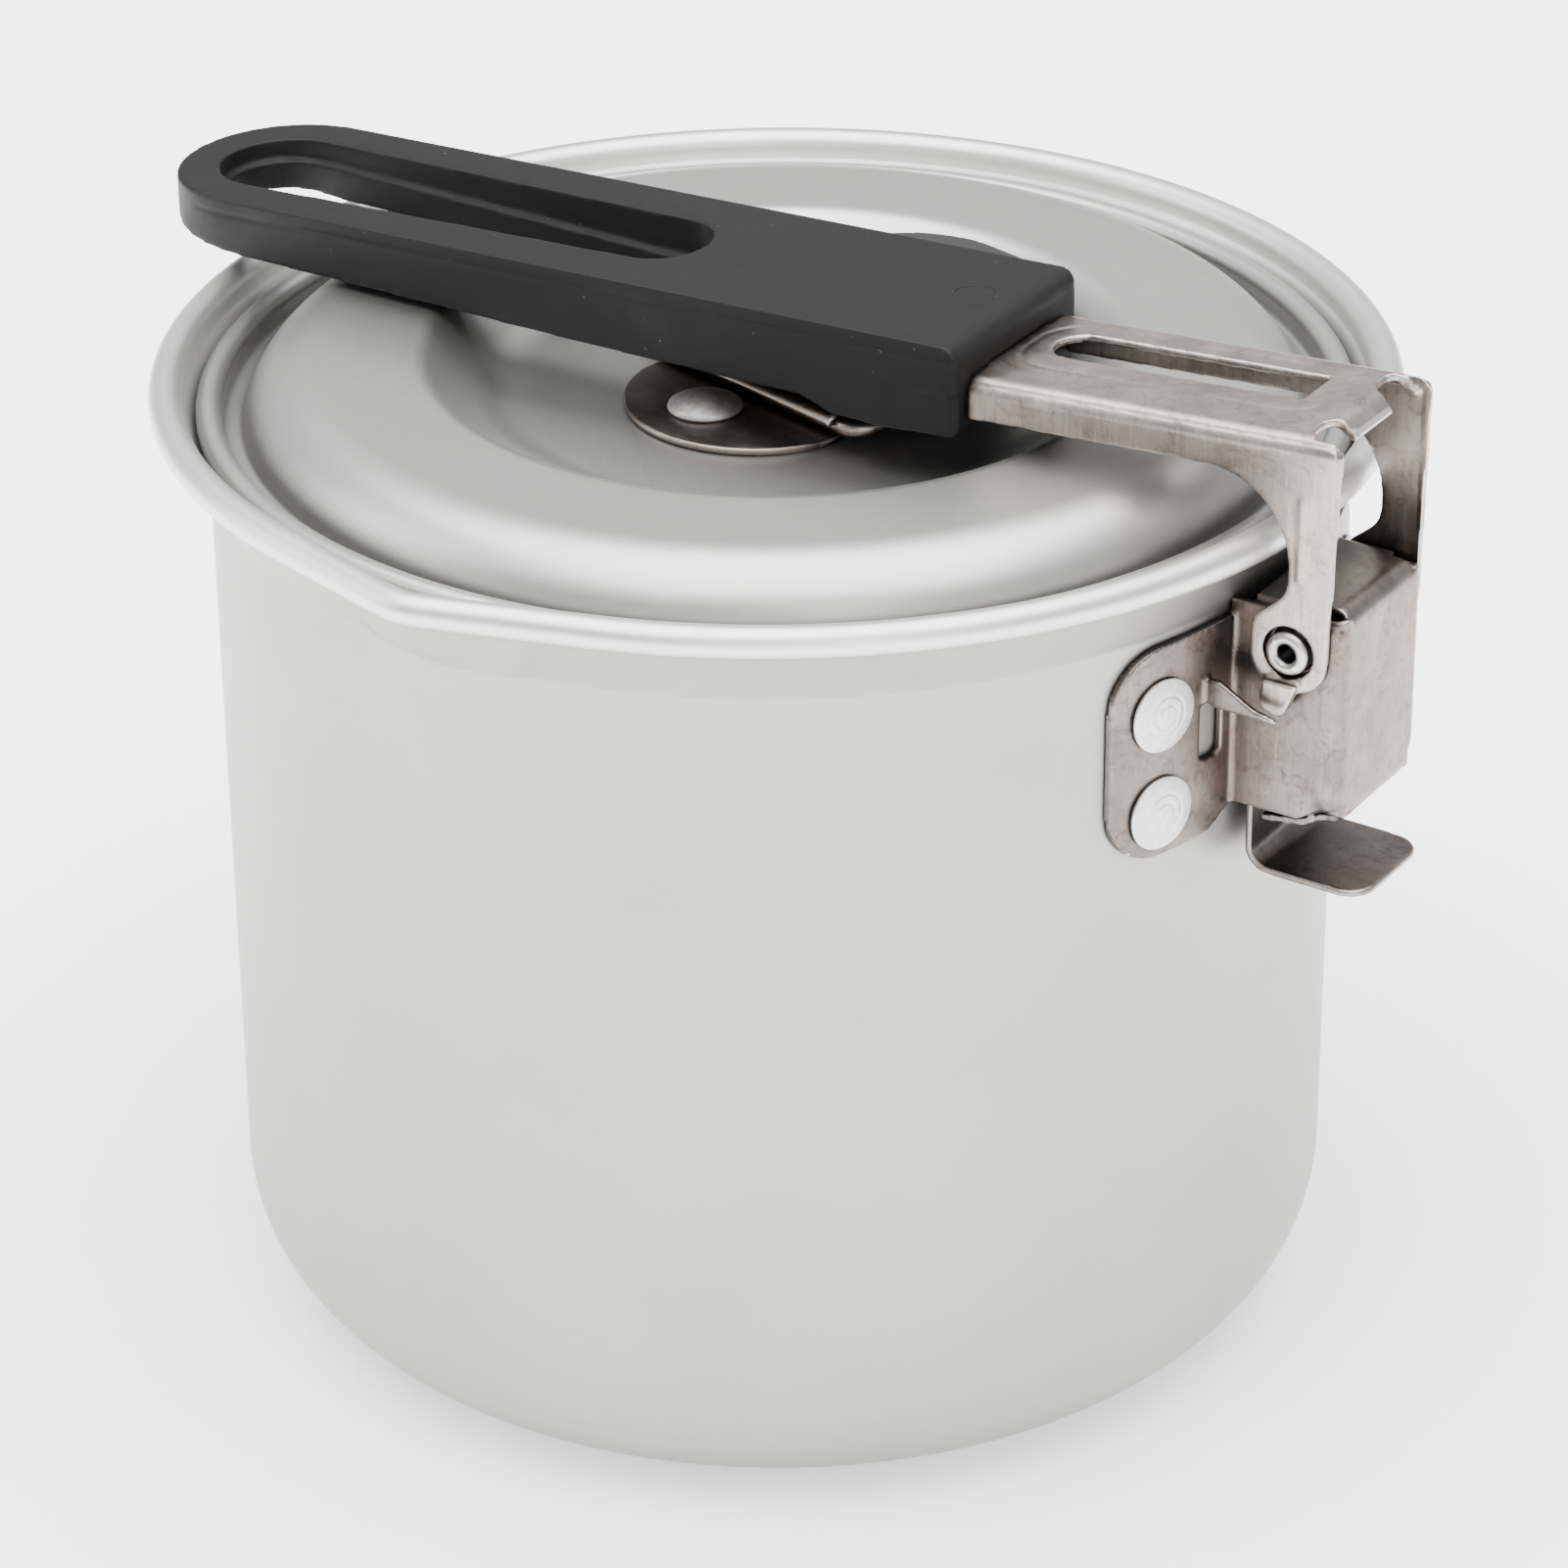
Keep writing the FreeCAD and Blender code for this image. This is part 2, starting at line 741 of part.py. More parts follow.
def make_lever_spring():
    """Torsion spring: close turns round the pivot tube, one leg down inside the front plate and
    one towards the lever's stem."""
    wire = 0.4
    coil = dim("pivot_radius") + 0.2 + wire
    turns = 5
    pitch = 2 * wire * 0.93
    spring = Part.makeTorus(coil, wire)
    for turn in range(1, turns + 1):
        spring = spring.fuse(Part.makeTorus(coil, wire, Z_AXIS * pitch * turn))
    leg = wire * 0.9
    front = FreeCAD.Vector(coil, 0, 0)
    back = FreeCAD.Vector(-coil, 0, pitch * turns)
    spring = spring.fuse(Part.makeCylinder(leg, 13, front, Y_AXIS))
    spring = spring.fuse(Part.makeCylinder(leg, 13, back, FreeCAD.Vector(-0.16, 1, 0)))
    spring.translate(FreeCAD.Vector(0, 0, -pitch * turns / 2))
    spring.rotate(FreeCAD.Vector(0, 0, 0), X_AXIS, -90)
    spring.translate(FreeCAD.Vector(dim("pivot_out"), 0, dim("pivot_height")))
    new_shape("lever_spring", only_solid(spring, "lever_spring"))


# ---------------------------------------------------------------------------------------------
# Lock lever
# ---------------------------------------------------------------------------------------------


def make_lock_lever():
    """A stem behind the front plate, cheeks on the pivot tube and a thumb tab below."""
    body = new_body("lock_lever")
    profile = outline_sketch(body, "lever_side", "XZ_Plane", [
        ("stem_back", "lever_top"),
        ("stem_back", "tab_height - sheet_gauge", 3.2),
        ("tab_reach", "tab_height - sheet_gauge - 0.2"),
        ("tab_reach", "tab_height - 0.2"),
        ("stem_back + sheet_gauge", "tab_height", 2.3),
        ("stem_back + sheet_gauge", "lever_top"),
    ])
    pad(body, "stem_and_tab", profile, "lever_half * 2", midplane=True)
    cheek = outline_sketch(body, "cheek_side", "XZ_Plane", [
        ("stem_back + 0.4", "pivot_height - 10"),
        ("pivot_out + 0.4", "pivot_height - 3.7", 3.0),
        ("pivot_out + 3.4", "pivot_height - 3.6", 3.2),
        ("pivot_out + 3.4", "pivot_height + 3.3", 3.2),
        ("stem_back + 0.4", "lever_top"),
    ], offset="cheek_outer - sheet_gauge")
    cheek_pad = pad(body, "cheek", cheek, "sheet_gauge")
    mirrored(body, "cheeks", [cheek_pad])
    bore = new_sketch(body, "pivot_bore_circle", "XZ_Plane", 0.0)
    add_circle(bore, "pivot_out", "pivot_height", "pivot_radius + running_gap")
    pocket(body, "pivot_holes", bore, 40, midplane=True)
    rounded(body, "tab_corners", body.Tip, 3.4,
            lambda p, e: is_along(e, Z_AXIS) and p.x > dim("tab_reach") - 1 and p.z < 80)


# ---------------------------------------------------------------------------------------------
# Handle
# ---------------------------------------------------------------------------------------------


def plate_line(x, drop="0"):
    """Height of the frame's top face at x, less a drop, as an expression."""
    return "plate_height + plate_slope * ( %s - 80 ) - %s" % (x, drop)


def make_handle_frame():
    """A stamped channel: sloping plate, side flanges that turn down into two legs."""
    body = new_body("handle_frame")
    side = outline_sketch(body, "leg_side", "XZ_Plane", [
        ("frame_start", "plate_height - 8.1"),
        ("frame_end - 6.3", "plate_height - 5.3", 10.5),
        ("frame_end - 6.3", "pivot_height + 7.2", 4.0),
        ("pivot_out - eye_radius", "pivot_height + 3.4", 2.8),
        ("pivot_out - eye_radius", "pivot_height - eye_radius", "eye_radius * 0.9"),
        ("frame_end - 1.1", "pivot_height - eye_radius", "eye_radius * 0.9"),
        ("frame_end", plate_line("frame_end"), 2.0),
        ("frame_start", plate_line("frame_start")),
    ], offset="frame_half - frame_gauge")
    leg = pad(body, "leg", side, "frame_gauge")
    stop = outline_sketch(body, "stop_tab_side", "XZ_Plane", [
        ("pivot_out - 2.6", "pivot_height - 3.6"),
        ("pivot_out - 3.4", "pivot_height - 7.3", 1.4),
        ("pivot_out", "pivot_height - 8.2", 1.5),
        ("pivot_out + 1.8", "pivot_height - 3.6"),
    ], offset="frame_half - frame_gauge * 0.5")
    tab = pad(body, "stop_tab", stop, "joggle + frame_gauge * 0.5")
    mirrored(body, "legs", [leg, tab])
    section = outline_sketch(body, "plate_side", "XZ_Plane", [
        ("tang_start", plate_line("tang_start")),
        ("frame_end - 3.8", plate_line("( frame_end - 3.8 )"), 2.4),
        ("tongue_end", plate_line("tongue_end", "tongue_drop")),
        ("tongue_end - 0.8", plate_line("tongue_end", "( tongue_drop + 0.7 )")),
        ("frame_end - 4.4", plate_line("( frame_end - 4.4 )", "frame_gauge"), 1.4),
        ("tang_start", plate_line("tang_start", "frame_gauge")),
    ])
    pad(body, "plate", section, "frame_half * 2 - 0.4", midplane=True)
    cut_plate(body)
    bore = new_sketch(body, "eye_circle", "XZ_Plane", 0.0)
    add_circle(bore, "pivot_out", "pivot_height", "pivot_radius + eye_gap")
    pocket(body, "eyes", bore, 40, midplane=True)


def cut_plate(body):
    """Shape the plate from above: slot, tang beside the grip, tongue and relief notches."""
    slot = outline_sketch(body, "slot_outline", "XY_Plane", [
        ("slot_start", "slot_middle - slot_half", "slot_half * 0.999"),
        ("slot_end", "slot_middle - slot_half"),
        ("slot_end", "slot_middle + slot_half"),
        ("slot_start", "slot_middle + slot_half", "slot_half * 0.999"),
    ], offset=125.0)
    pocket(body, "slot", slot, 30, back=True)
    for side, name in ((-1, "near"), (1, "far")):
        tang = outline_sketch(body, name + "_tang_outline", "XY_Plane", [
            ("tang_start - 1", "tang_half * %d" % side),
            ("frame_start", "tang_half * %d" % side),
            ("frame_start", "frame_half * %d * 1.1" % side),
            ("tang_start - 1", "frame_half * %d * 1.1" % side),
        ], offset=125.0)
        pocket(body, name + "_tang_side", tang, 30, back=True)
        notch = outline_sketch(body, name + "_notch_outline", "XY_Plane", [
            ("frame_end + 1", "tongue_half * %d" % side),
            ("frame_end - notch_depth", "tongue_root * %d" % side, "notch_round"),
            ("frame_end - notch_depth", "( frame_half - 1.6 ) * %d" % side, "notch_round"),
            ("frame_end + 1", "( frame_half - 1.6 ) * %d" % side),
        ], offset=132.5)
        pocket(body, name + "_notch", notch, 30, back=True)


def hole_corners(ledge):
    """The grip's long hole in plan: wide at the tip, narrower at the frame, less a ledge."""
    wide = "( hole_wide - %s )" % ledge
    narrow = "( hole_narrow - %s )" % ledge
    start = "hole_start + %s" % ledge
    end = "hole_end - %s" % ledge
    return [
        (start, "0 - " + wide, wide + " * 0.96"),
        (end, "0 - " + narrow, narrow + " * 0.96"),
        (end, narrow, narrow + " * 0.96"),
        (start, wide, wide + " * 0.96"),
    ]


def make_handle_grip():
    """A long rubber grip with a rounded tip, a long hole and a cavity for the frame's tang."""
    body = new_body("handle_grip")
    side = outline_sketch(body, "grip_side", "XZ_Plane", [
        ("grip_tip", 132.9),
        ("grip_tip", "grip_belly + 0.9", 1.5),
        (-71.0, "grip_belly - 0.1"),
        (-18.0, "grip_belly"),
        (12.5, "grip_waist", 2.0),
        (16.6, "grip_foot", 2.0),
        (24.0, "grip_foot - 0.1"),
        ("grip_end", "grip_foot + 0.7", 1.0),
        ("grip_end", 137.7, 2.2),
        (-60.0, 134.0),
    ])
    pad(body, "grip_slab", side, "grip_half * 2", midplane=True)
    plan = new_sketch(body, "grip_plan", "XY_Plane", 120.0)
    add_outline(plan, [
        ("grip_tip", "0 - grip_half", "grip_half * 0.98"),
        ("grip_end", "0 - grip_half", 1.2),
        ("grip_end", "grip_half", 1.2),
        ("grip_tip", "grip_half", "grip_half * 0.98"),
    ])
    add_outline(plan, [
        ("grip_tip - 10", "0 - grip_half - 10"),
        ("grip_end + 10", "0 - grip_half - 10"),
        ("grip_end + 10", "grip_half + 10"),
        ("grip_tip - 10", "grip_half + 10"),
    ])
    pocket(body, "round_tip", plan, 30, back=True)
    for name, ledge, level in (("upper", "0", "ledge_height"), ("lower", "hole_ledge", "120")):
        hole = outline_sketch(body, name + "_hole_plan", "XY_Plane", hole_corners(ledge),
                              offset=number(level))
        pocket(body, name + "_hole", hole, 30, back=True)
    cavity = outline_sketch(body, "cavity_side", "XZ_Plane", [
        ("tang_start - 0.1", plate_line("tang_start", "-0.05")),
        ("grip_end + 1", plate_line("( grip_end + 1 )", "-0.05")),
        ("grip_end + 1", plate_line("( grip_end + 1 )", "( frame_gauge + 0.05 )")),
        ("tang_start - 0.1", plate_line("tang_start", "( frame_gauge + 0.05 )")),
    ])
    pocket(body, "cavity", cavity, "tang_half * 2 + 0.1", midplane=True)


# ---------------------------------------------------------------------------------------------
# Lid and knob
# ---------------------------------------------------------------------------------------------


def make_lid_shell():
    """The lid: sunken centre, flat crown, round shoulder, groove and rolled bead."""
    gauge = dim("lid_gauge")
    floor = dim("recess_floor")
    top = dim("lid_top")
    wall = dim("lid_wall_radius")
    shoulder = dim("lid_shoulder")
    groove = dim("lid_groove_height")
    bead_r = dim("lid_bead_radius")
    bead_z = dim("lid_bead_height")
    bead = dim("lid_bead")
    flat = wall - shoulder
    slant = math.sqrt(0.5)
    inner_shoulder = shoulder - gauge
    points = [
        (0, floor),
        (dim("recess_floor_radius"), floor),
        (dim("recess_radius"), top),
        (flat, top),
        (wall, top - shoulder),
        (wall + 0.6, groove),
        (bead_r - bead * 0.7, groove),
        (bead_r, groove + 0.7),
        (bead_r, groove - gauge + 0.6),
        (wall - gauge * 0.4, groove - gauge),
        (wall - gauge, top - shoulder),
        (flat, top - gauge),
        (dim("recess_radius") + 0.5, top - gauge),
        (dim("recess_floor_radius") + 0.5, floor - gauge),
        (0, floor - gauge),
    ]
    arcs = {
        3: (flat + shoulder * slant, top - shoulder + shoulder * slant),
        10: (flat + inner_shoulder * slant, top - shoulder + inner_shoulder * slant),
    }
    shell = revolved_profile(points, arcs)
    ring = Part.makeTorus(bead_r, bead, FreeCAD.Vector(0, 0, bead_z), Z_AXIS)
    x, y = knob_rivet_seat()
    hole = Part.makeCylinder(dim("lid_rivet_shank"), 5, FreeCAD.Vector(x, y, floor - 3), Z_AXIS)
    lid = shell.fuse(ring).cut(hole).removeSplitter()
    new_shape("lid_shell", only_solid(lid, "lid_shell"))


def knob_placement():
    """Moves a piece drawn with the hinge wire along x at the origin to its place on the lid."""
    place = FreeCAD.Vector(dim("knob_across"), dim("knob_along"), hinge_height())
    return FreeCAD.Placement(place, FreeCAD.Rotation(Z_AXIS, dim("knob_turn")))


def hinge_height():
    """Height of the knob's hinge wire above the base."""
    return dim("recess_floor") + dim("sheet_gauge") + dim("wire_radius") + dim("running_gap") + 0.05


def knob_rivet_seat():
    """Where the rivet goes through the lid."""
    seat = FreeCAD.Vector(dim("lid_rivet_across"), dim("lid_rivet_along"), 0)
    place = knob_placement().multVec(seat)
    return place.x, place.y


def make_knob_plate():
    """A half-round plate whose straight edge is curled round the hinge wire."""
    gauge = dim("sheet_gauge")
    floor = dim("recess_floor") + 0.02 - hinge_height()
    centre = FreeCAD.Vector(0, dim("plate_centre"), floor)
    disc = Part.makeCylinder(dim("plate_radius"), gauge, centre, Z_AXIS)
    keep = Part.makeBox(60, 40, 20, FreeCAD.Vector(-30, -40, -15))
    plate = disc.common(keep)
    bore = dim("wire_radius") + dim("running_gap")
    outer = bore + gauge
    half = dim("curl_half")
    start = FreeCAD.Vector(-half, 0, floor + outer)
    curl = Part.makeCylinder(outer, 2 * half, start, X_AXIS)
    hollow = Part.makeCylinder(bore, 80, FreeCAD.Vector(-40, 0, 0), X_AXIS)
    rivet = FreeCAD.Vector(dim("lid_rivet_across"), dim("lid_rivet_along"), floor - 1)
    hole = Part.makeCylinder(dim("lid_rivet_shank"), 5, rivet, Z_AXIS)
    plate = plate.fuse(curl).cut(hollow).cut(hole).removeSplitter()
    new_shape("knob_plate", only_solid(plate, "knob_plate"), knob_placement())


def make_lid_rivet():
    """The dome-head rivet that holds the plate, with its tail under the lid."""
    plate_top = dim("recess_floor") + 0.02 + dim("sheet_gauge")
    under = dim("recess_floor") - dim("lid_gauge")
    head = dim("lid_rivet_head")
    shank = dim("lid_rivet_shank")
    points = [
        (0, under - 0.9),
        (3.4, under - 0.9),
        (3.4, under),
        (shank, under),
        (shank, plate_top),
        (head, plate_top),
        (head, plate_top + 0.35),
        (0, plate_top + 2.0),
    ]
    arcs = {6: crown_point(head, plate_top + 0.35, plate_top + 2.0)}
    rivet = revolved_profile(points, arcs)
    x, y = knob_rivet_seat()
    rivet.translate(FreeCAD.Vector(x, y, 0))
    new_shape("lid_rivet", rivet)


def knob_tilt():
    """The knob's small upward tilt about its hinge wire."""
    return FreeCAD.Placement(FreeCAD.Vector(0, 0, 0), FreeCAD.Rotation(X_AXIS, dim("knob_tilt")))


def knob_wire_solid(radius, leg):
    """A wire along the hinge with both ends bent back into the knob."""
    half = dim("knob_half") - 1.2
    bend = dim("wire_bend")
    slant = bend * math.sqrt(0.5)
    points = [
        FreeCAD.Vector(-half, leg, 0),
        FreeCAD.Vector(-half, bend, 0),
        FreeCAD.Vector(bend - half, 0, 0),
        FreeCAD.Vector(half - bend, 0, 0),
        FreeCAD.Vector(half, bend, 0),
        FreeCAD.Vector(half, leg, 0),
    ]
    first_turn = FreeCAD.Vector(bend - half - slant, bend - slant, 0)
    last_turn = FreeCAD.Vector(half - bend + slant, bend - slant, 0)
    path = Part.Wire([
        Part.LineSegment(points[0], points[1]).toShape(),
        Part.Arc(points[1], first_turn, points[2]).toShape(),
        Part.LineSegment(points[2], points[3]).toShape(),
        Part.Arc(points[3], last_turn, points[4]).toShape(),
        Part.LineSegment(points[4], points[5]).toShape(),
    ])
    section = Part.Wire(Part.makeCircle(radius, points[0], Y_AXIS))
    return path.makePipeShell([section], True, True)


def make_knob():
    """The steel wire and the black knob moulded over its ends."""
    place = knob_placement().multiply(knob_tilt())
    wire_end = dim("wire_end")
    new_shape("knob_wire", knob_wire_solid(dim("wire_radius"), wire_end), place)
    half = dim("knob_half")
    length = dim("knob_length")
    near = dim("knob_near")
    tip = dim("knob_round")
    thick = dim("knob_thick")
    low = -thick / 2
    outline = [
        (FreeCAD.Vector(-half, near, low), 2.0),
        (FreeCAD.Vector(half, near, low), 2.0),
        (FreeCAD.Vector(half, length, low), tip),
        (FreeCAD.Vector(-half, length, low), tip),
    ]
    grip = rounded_prism(outline, Z_AXIS * thick)
    grip = grip.cut(knob_wire_solid(dim("wire_radius") + 0.02, wire_end + 0.02))
    new_shape("knob_grip", only_solid(grip, "knob_grip"), place)


# ---------------------------------------------------------------------------------------------
# Build, check and write
# ---------------------------------------------------------------------------------------------

make_pot_shell()
make_bracket()
make_rivets()
make_pivot_tube()
make_lever_spring()
make_lock_lever()
make_handle_frame()
make_handle_grip()
make_lid_shell()
make_knob_plate()
make_lid_rivet()
make_knob()
DOC.recompute()


def sub_parts():
    """Every finished piece: the bodies and the shapes that stand on their own."""
    return [item for item in DOC.Objects if item.TypeId in ("PartDesign::Body", "Part::Feature")]


def check_document():
    for item in DOC.Objects:
        if "Invalid" in item.State or "Error" in item.State:
            raise RuntimeError("%s is %s" % (item.Label, item.State))
    for item in sub_parts():
        shape = item.Shape
        if shape.isNull() or not shape.isValid():
            raise RuntimeError(item.Label + " has no valid shape")
        if len(shape.Solids) != 1:
            raise RuntimeError("%s has %d solids" % (item.Label, len(shape.Solids)))


def write_parts():
    os.makedirs("parts", exist_ok=True)
    for item in sub_parts():
        item.Shape.exportStep("parts/%s.step" % item.Label)
        box = item.Shape.BoundBox
        print("%-16s %9.1f mm3  z %.1f to %.1f" % (item.Label, item.Shape.Volume, box.ZMin, box.ZMax))


check_document()
write_parts()
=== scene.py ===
"""Looks of a camping saucepan: a deep pot with a rolled rim and a pouring spout, an inset lid
with a flip knob, and a folding handle on a riveted bracket."""

import json
import math

import bpy
import numpy as np
from mathutils import Matrix, Vector


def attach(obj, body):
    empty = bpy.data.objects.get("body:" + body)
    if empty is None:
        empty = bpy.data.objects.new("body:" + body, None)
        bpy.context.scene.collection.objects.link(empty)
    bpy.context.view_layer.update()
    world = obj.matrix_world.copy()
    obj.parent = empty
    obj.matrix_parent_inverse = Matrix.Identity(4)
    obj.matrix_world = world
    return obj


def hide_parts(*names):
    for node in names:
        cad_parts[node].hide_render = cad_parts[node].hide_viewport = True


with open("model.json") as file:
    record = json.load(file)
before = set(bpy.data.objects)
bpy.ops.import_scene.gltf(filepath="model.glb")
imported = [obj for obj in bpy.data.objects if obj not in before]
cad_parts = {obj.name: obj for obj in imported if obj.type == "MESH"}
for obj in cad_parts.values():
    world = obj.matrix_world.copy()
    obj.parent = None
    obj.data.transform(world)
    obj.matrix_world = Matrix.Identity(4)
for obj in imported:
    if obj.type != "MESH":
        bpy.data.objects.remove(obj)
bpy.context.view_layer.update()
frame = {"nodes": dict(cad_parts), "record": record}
MM = 0.001

# ---------------------------------------------------------------------------------------------
# Driving dimensions, in millimetres
# ---------------------------------------------------------------------------------------------

JOINTS = {joint["name"]: joint for joint in frame["record"]["behaviour"]["joints"]}
PIVOT = [value / MM for value in JOINTS["handle_pivot"]["pos_m"]]
HINGE = [value / MM for value in JOINTS["knob_flip"]["pos_m"]]
HINGE_AXIS = JOINTS["knob_flip"]["axis"]
HINGE_TURN = math.degrees(math.atan2(HINGE_AXIS[1], HINGE_AXIS[0]))

TURN_STEPS = 480
RIVET_STEPS = 72
TUBE_STEPS = 64
HUB_RADIUS = 3.0
ON_AXIS = 1e-6
WELD_GAP = 1e-6
SMALLEST_ROUND = 0.2

WALL_RADIUS = 69.3
SHEET = 1.2
BASE_CORNER = 17.5
WALL_FIRST_RING = 4.0
WALL_LAST_RING = 2.4
SHOULDER_HEIGHT = 112.3
SHOULDER_BEND = 1.6
SHOULDER_SOFTNESS = 0.12
FLARE_RADIUS = 72.9
FLARE_HEIGHT = 120.2
FLARE_STRAIGHT = 5.2
RIM_RADIUS = 74.2
RIM_HEIGHT = 122.0
RIM_ROLL = 2.0
RIM_SEAM = 73.15, 120.65
RIM_SEAM_ANGLE = -116.0
RIM_TUCK = 0.1, 1.2

SPOUT_REACH = 3.4
SPOUT_TIP_SOFTNESS = 0.02
SPOUT_LIP_FOOT = 107.0
SPOUT_FOOT = 92.5
SPOUT_PRESS = 0.85
SPOUT_SPREAD = 0.30
SPOUT_POINT_DROP = 7.5
SPOUT_POINT_HALF = 0.6
SPOUT_SIDE_FROM = 0.80
SPOUT_SIDE_RUN = 0.40
SPOUT_RISE = 12.0
SPOUT_FADE = 7.0
SPOUT_INNER_LIMIT = 40.0

LID_FLAT_RADIUS = 68.0
LID_FLANGE_RUN = 3.9
LID_FLANGE_DROP = 0.1
LID_BEAD_RADIUS = 69.0
LID_BEAD_HEIGHT = 119.6
LID_BEAD_ROLL = 1.6
LID_BEAD_START = -110.0
LID_BEAD_END = 205.0
LID_GROOVE = [(67.3, 117.62), (66.8, 117.45), (66.2, 117.4), (65.6, 117.45), (65.2, 117.62)]
LID_TOP = 125.5
LID_TOP_EDGE = 55.0
LID_GAUGE = 1.0
LID_SHOULDER = 9.0
LID_SHOULDER_CENTRE = 55.9, 116.5
LID_SHOULDER_START = 9.0
LID_RECESS_EDGE = 44.4
LID_EDGE_ROUND = 4.0
LID_RECESS_ROUND = 8.0
LID_RECESS_SLOPE = 36.0
LID_RECESS_FOLD = 0.6
LID_FLOOR = 119.5
LID_FLOOR_STOP = 0.6
LID_UNDER_STOP = 0.4

RIVET_TURN = 18.3
RIVET_HEIGHTS = 102.6, 89.9
RIVET_HEAD = 4.6
RIVET_SHANK = 2.2
RIVET_TAIL = 3.6
RIVET_INSIDE = 67.05
RIVET_WALL = 67.95
RIVET_SEAT = 70.3
RIVET_RIM = 70.75
RIVET_CROWN = 71.45
RIVET_TAIL_EDGE = 0.35, 0.3
RIVET_RING_DEPTH = 0.08
HEAD_EDGE = 0.3
HEAD_UNDERCUT = 0.12
HEAD_CENTRE = 0.05
HEAD_CROWN_POWER = 0.8
HEAD_RINGS = 1.5, 2.6
HEAD_RING_WIDTH = 0.18

TUBE_BORE = 1.52
TUBE_OUTER = 2.72
TUBE_HALF = 12.7
TUBE_LIP = 0.8
TUBE_BORE_STOP = 2.0

PLATE_RADIUS = 16.1
PLATE_CENTRE = 0.5
PLATE_GAUGE = 0.9
PLATE_HALF = 16.0
PLATE_END_GAP = 0.4
PLATE_STATIONS = 81
PLATE_REST = -2.13
CURL_OUTER = 2.13
CURL_INNER = 1.23
CURL_START = -90.0
CURL_END = 168.0

LID_RIVET_PLACE = -3.08, -11.11
LID_RIVET_SEAT = 0.92
LID_RIVET_RIM = 1.5
LID_RIVET_CROWN = 2.9
LID_RIVET_HEAD = 4.6
LID_RIVET_SHANK = 1.7
LID_RIVET_TAIL = 3.0
LID_RIVET_TAIL_DROP = 2.1
LID_RIVET_TAIL_EDGE = 0.3

STAMPING_VOXEL = 0.27
STAMPING_ROUNDS = 3
GRIP_VOXEL = 0.30
KNOB_VOXEL = 0.2
MOULDING_ROUNDS = 6

FRAME_HALF = 12.0
FRAME_BEND = 2.2
FRAME_START = 34.0
FRAME_END = 83.3
FRAME_TOP = 136.2
FRAME_TOP_AT = 80.0
FRAME_SLOPE = 0.065
LEG_ROUND = 1.5
LEG_RIB_X = 78.6
LEG_RIB_FOOT = 117.5
LEG_RIB_TOP = 129.5
LEG_RIB_HEIGHT = 0.22
LEG_RIB_WIDTH = 0.55
LEG_RIB_FADE = 1.5
LEG_FACE = 0.4
CONTOUR_CENTRE = 55.7, 1.6
CONTOUR_HALF = 15.3, 1.6
CONTOUR_REACH = 5.0
CONTOUR_WIDTH = 0.35
CONTOUR_DEPTH = 0.12
CONTOUR_FACE = 0.6

GRIP_TILT = 2.25
GRIP_HALF = 14.2
GRIP_TOP_END = 137.7
GRIP_SIDE_DEPTH = 1.2
GRIP_SIDE_FADE = 0.8
GRIP_LINE_DROP = 2.0
GRIP_LINE_WIDTH = 0.30
GRIP_LINE_DEPTH = 0.14
GRIP_STEP_START = 22.0
GRIP_STEP_RUN = 4.0
GRIP_STEP_DROP = 6.0
GRIP_STEP_SOFTNESS = 0.35
GRIP_STEP_DEPTH = 0.25

BOX_FRONT = 83.6
BOX_ROUND_DEPTH = 5.5
BOX_ROUND_FADE = 3.0
BOX_HALF = 10.3
BOX_FOOT = 86.8
BOX_TOP = 113.3
BOX_FOOT_CORNER = 4.2
BOX_TOP_CORNER = 1.8

PIN_MARK_PLACE = 27.0, 1.6, 137.36
PIN_MARK_RADIUS = 2.9
PIN_MARK_FOOT = -0.4
PIN_MARK_RIM = 0.13
PIN_MARK_RIM_RUN = 0.5
PIN_MARK_FACE = 0.075
PIN_MARK_MIDDLE = 1.0

# ---------------------------------------------------------------------------------------------
# Mesh helpers
# ---------------------------------------------------------------------------------------------


def smooth_step(x):
    x = np.clip(x, 0.0, 1.0)
    return x * x * (3.0 - 2.0 * x)


def arc(centre, radius, start, end, steps):
    """Points of an arc in the radius and height plane, angles in degrees."""
    angles = np.radians(np.linspace(start, end, steps))
    return [(centre[0] + radius * math.cos(a), centre[1] + radius * math.sin(a)) for a in angles]


def line(start, end, steps):
    """Points between two places, without the last."""
    t = np.linspace(0.0, 1.0, steps, endpoint=False)
    return [(start[0] + (end[0] - start[0]) * k, start[1] + (end[1] - start[1]) * k) for k in t]


def mesh_object(name, vertices, faces, smooth=True):
    mesh = bpy.data.meshes.new(name)
    mesh.from_pydata((np.asarray(vertices) * MM).tolist(), [], faces)
    mesh.validate()
    mesh.update()
    if smooth:
        mesh.polygons.foreach_set("use_smooth", [True] * len(mesh.polygons))
    obj = bpy.data.objects.new(name, mesh)
    bpy.context.scene.collection.objects.link(obj)
    return obj


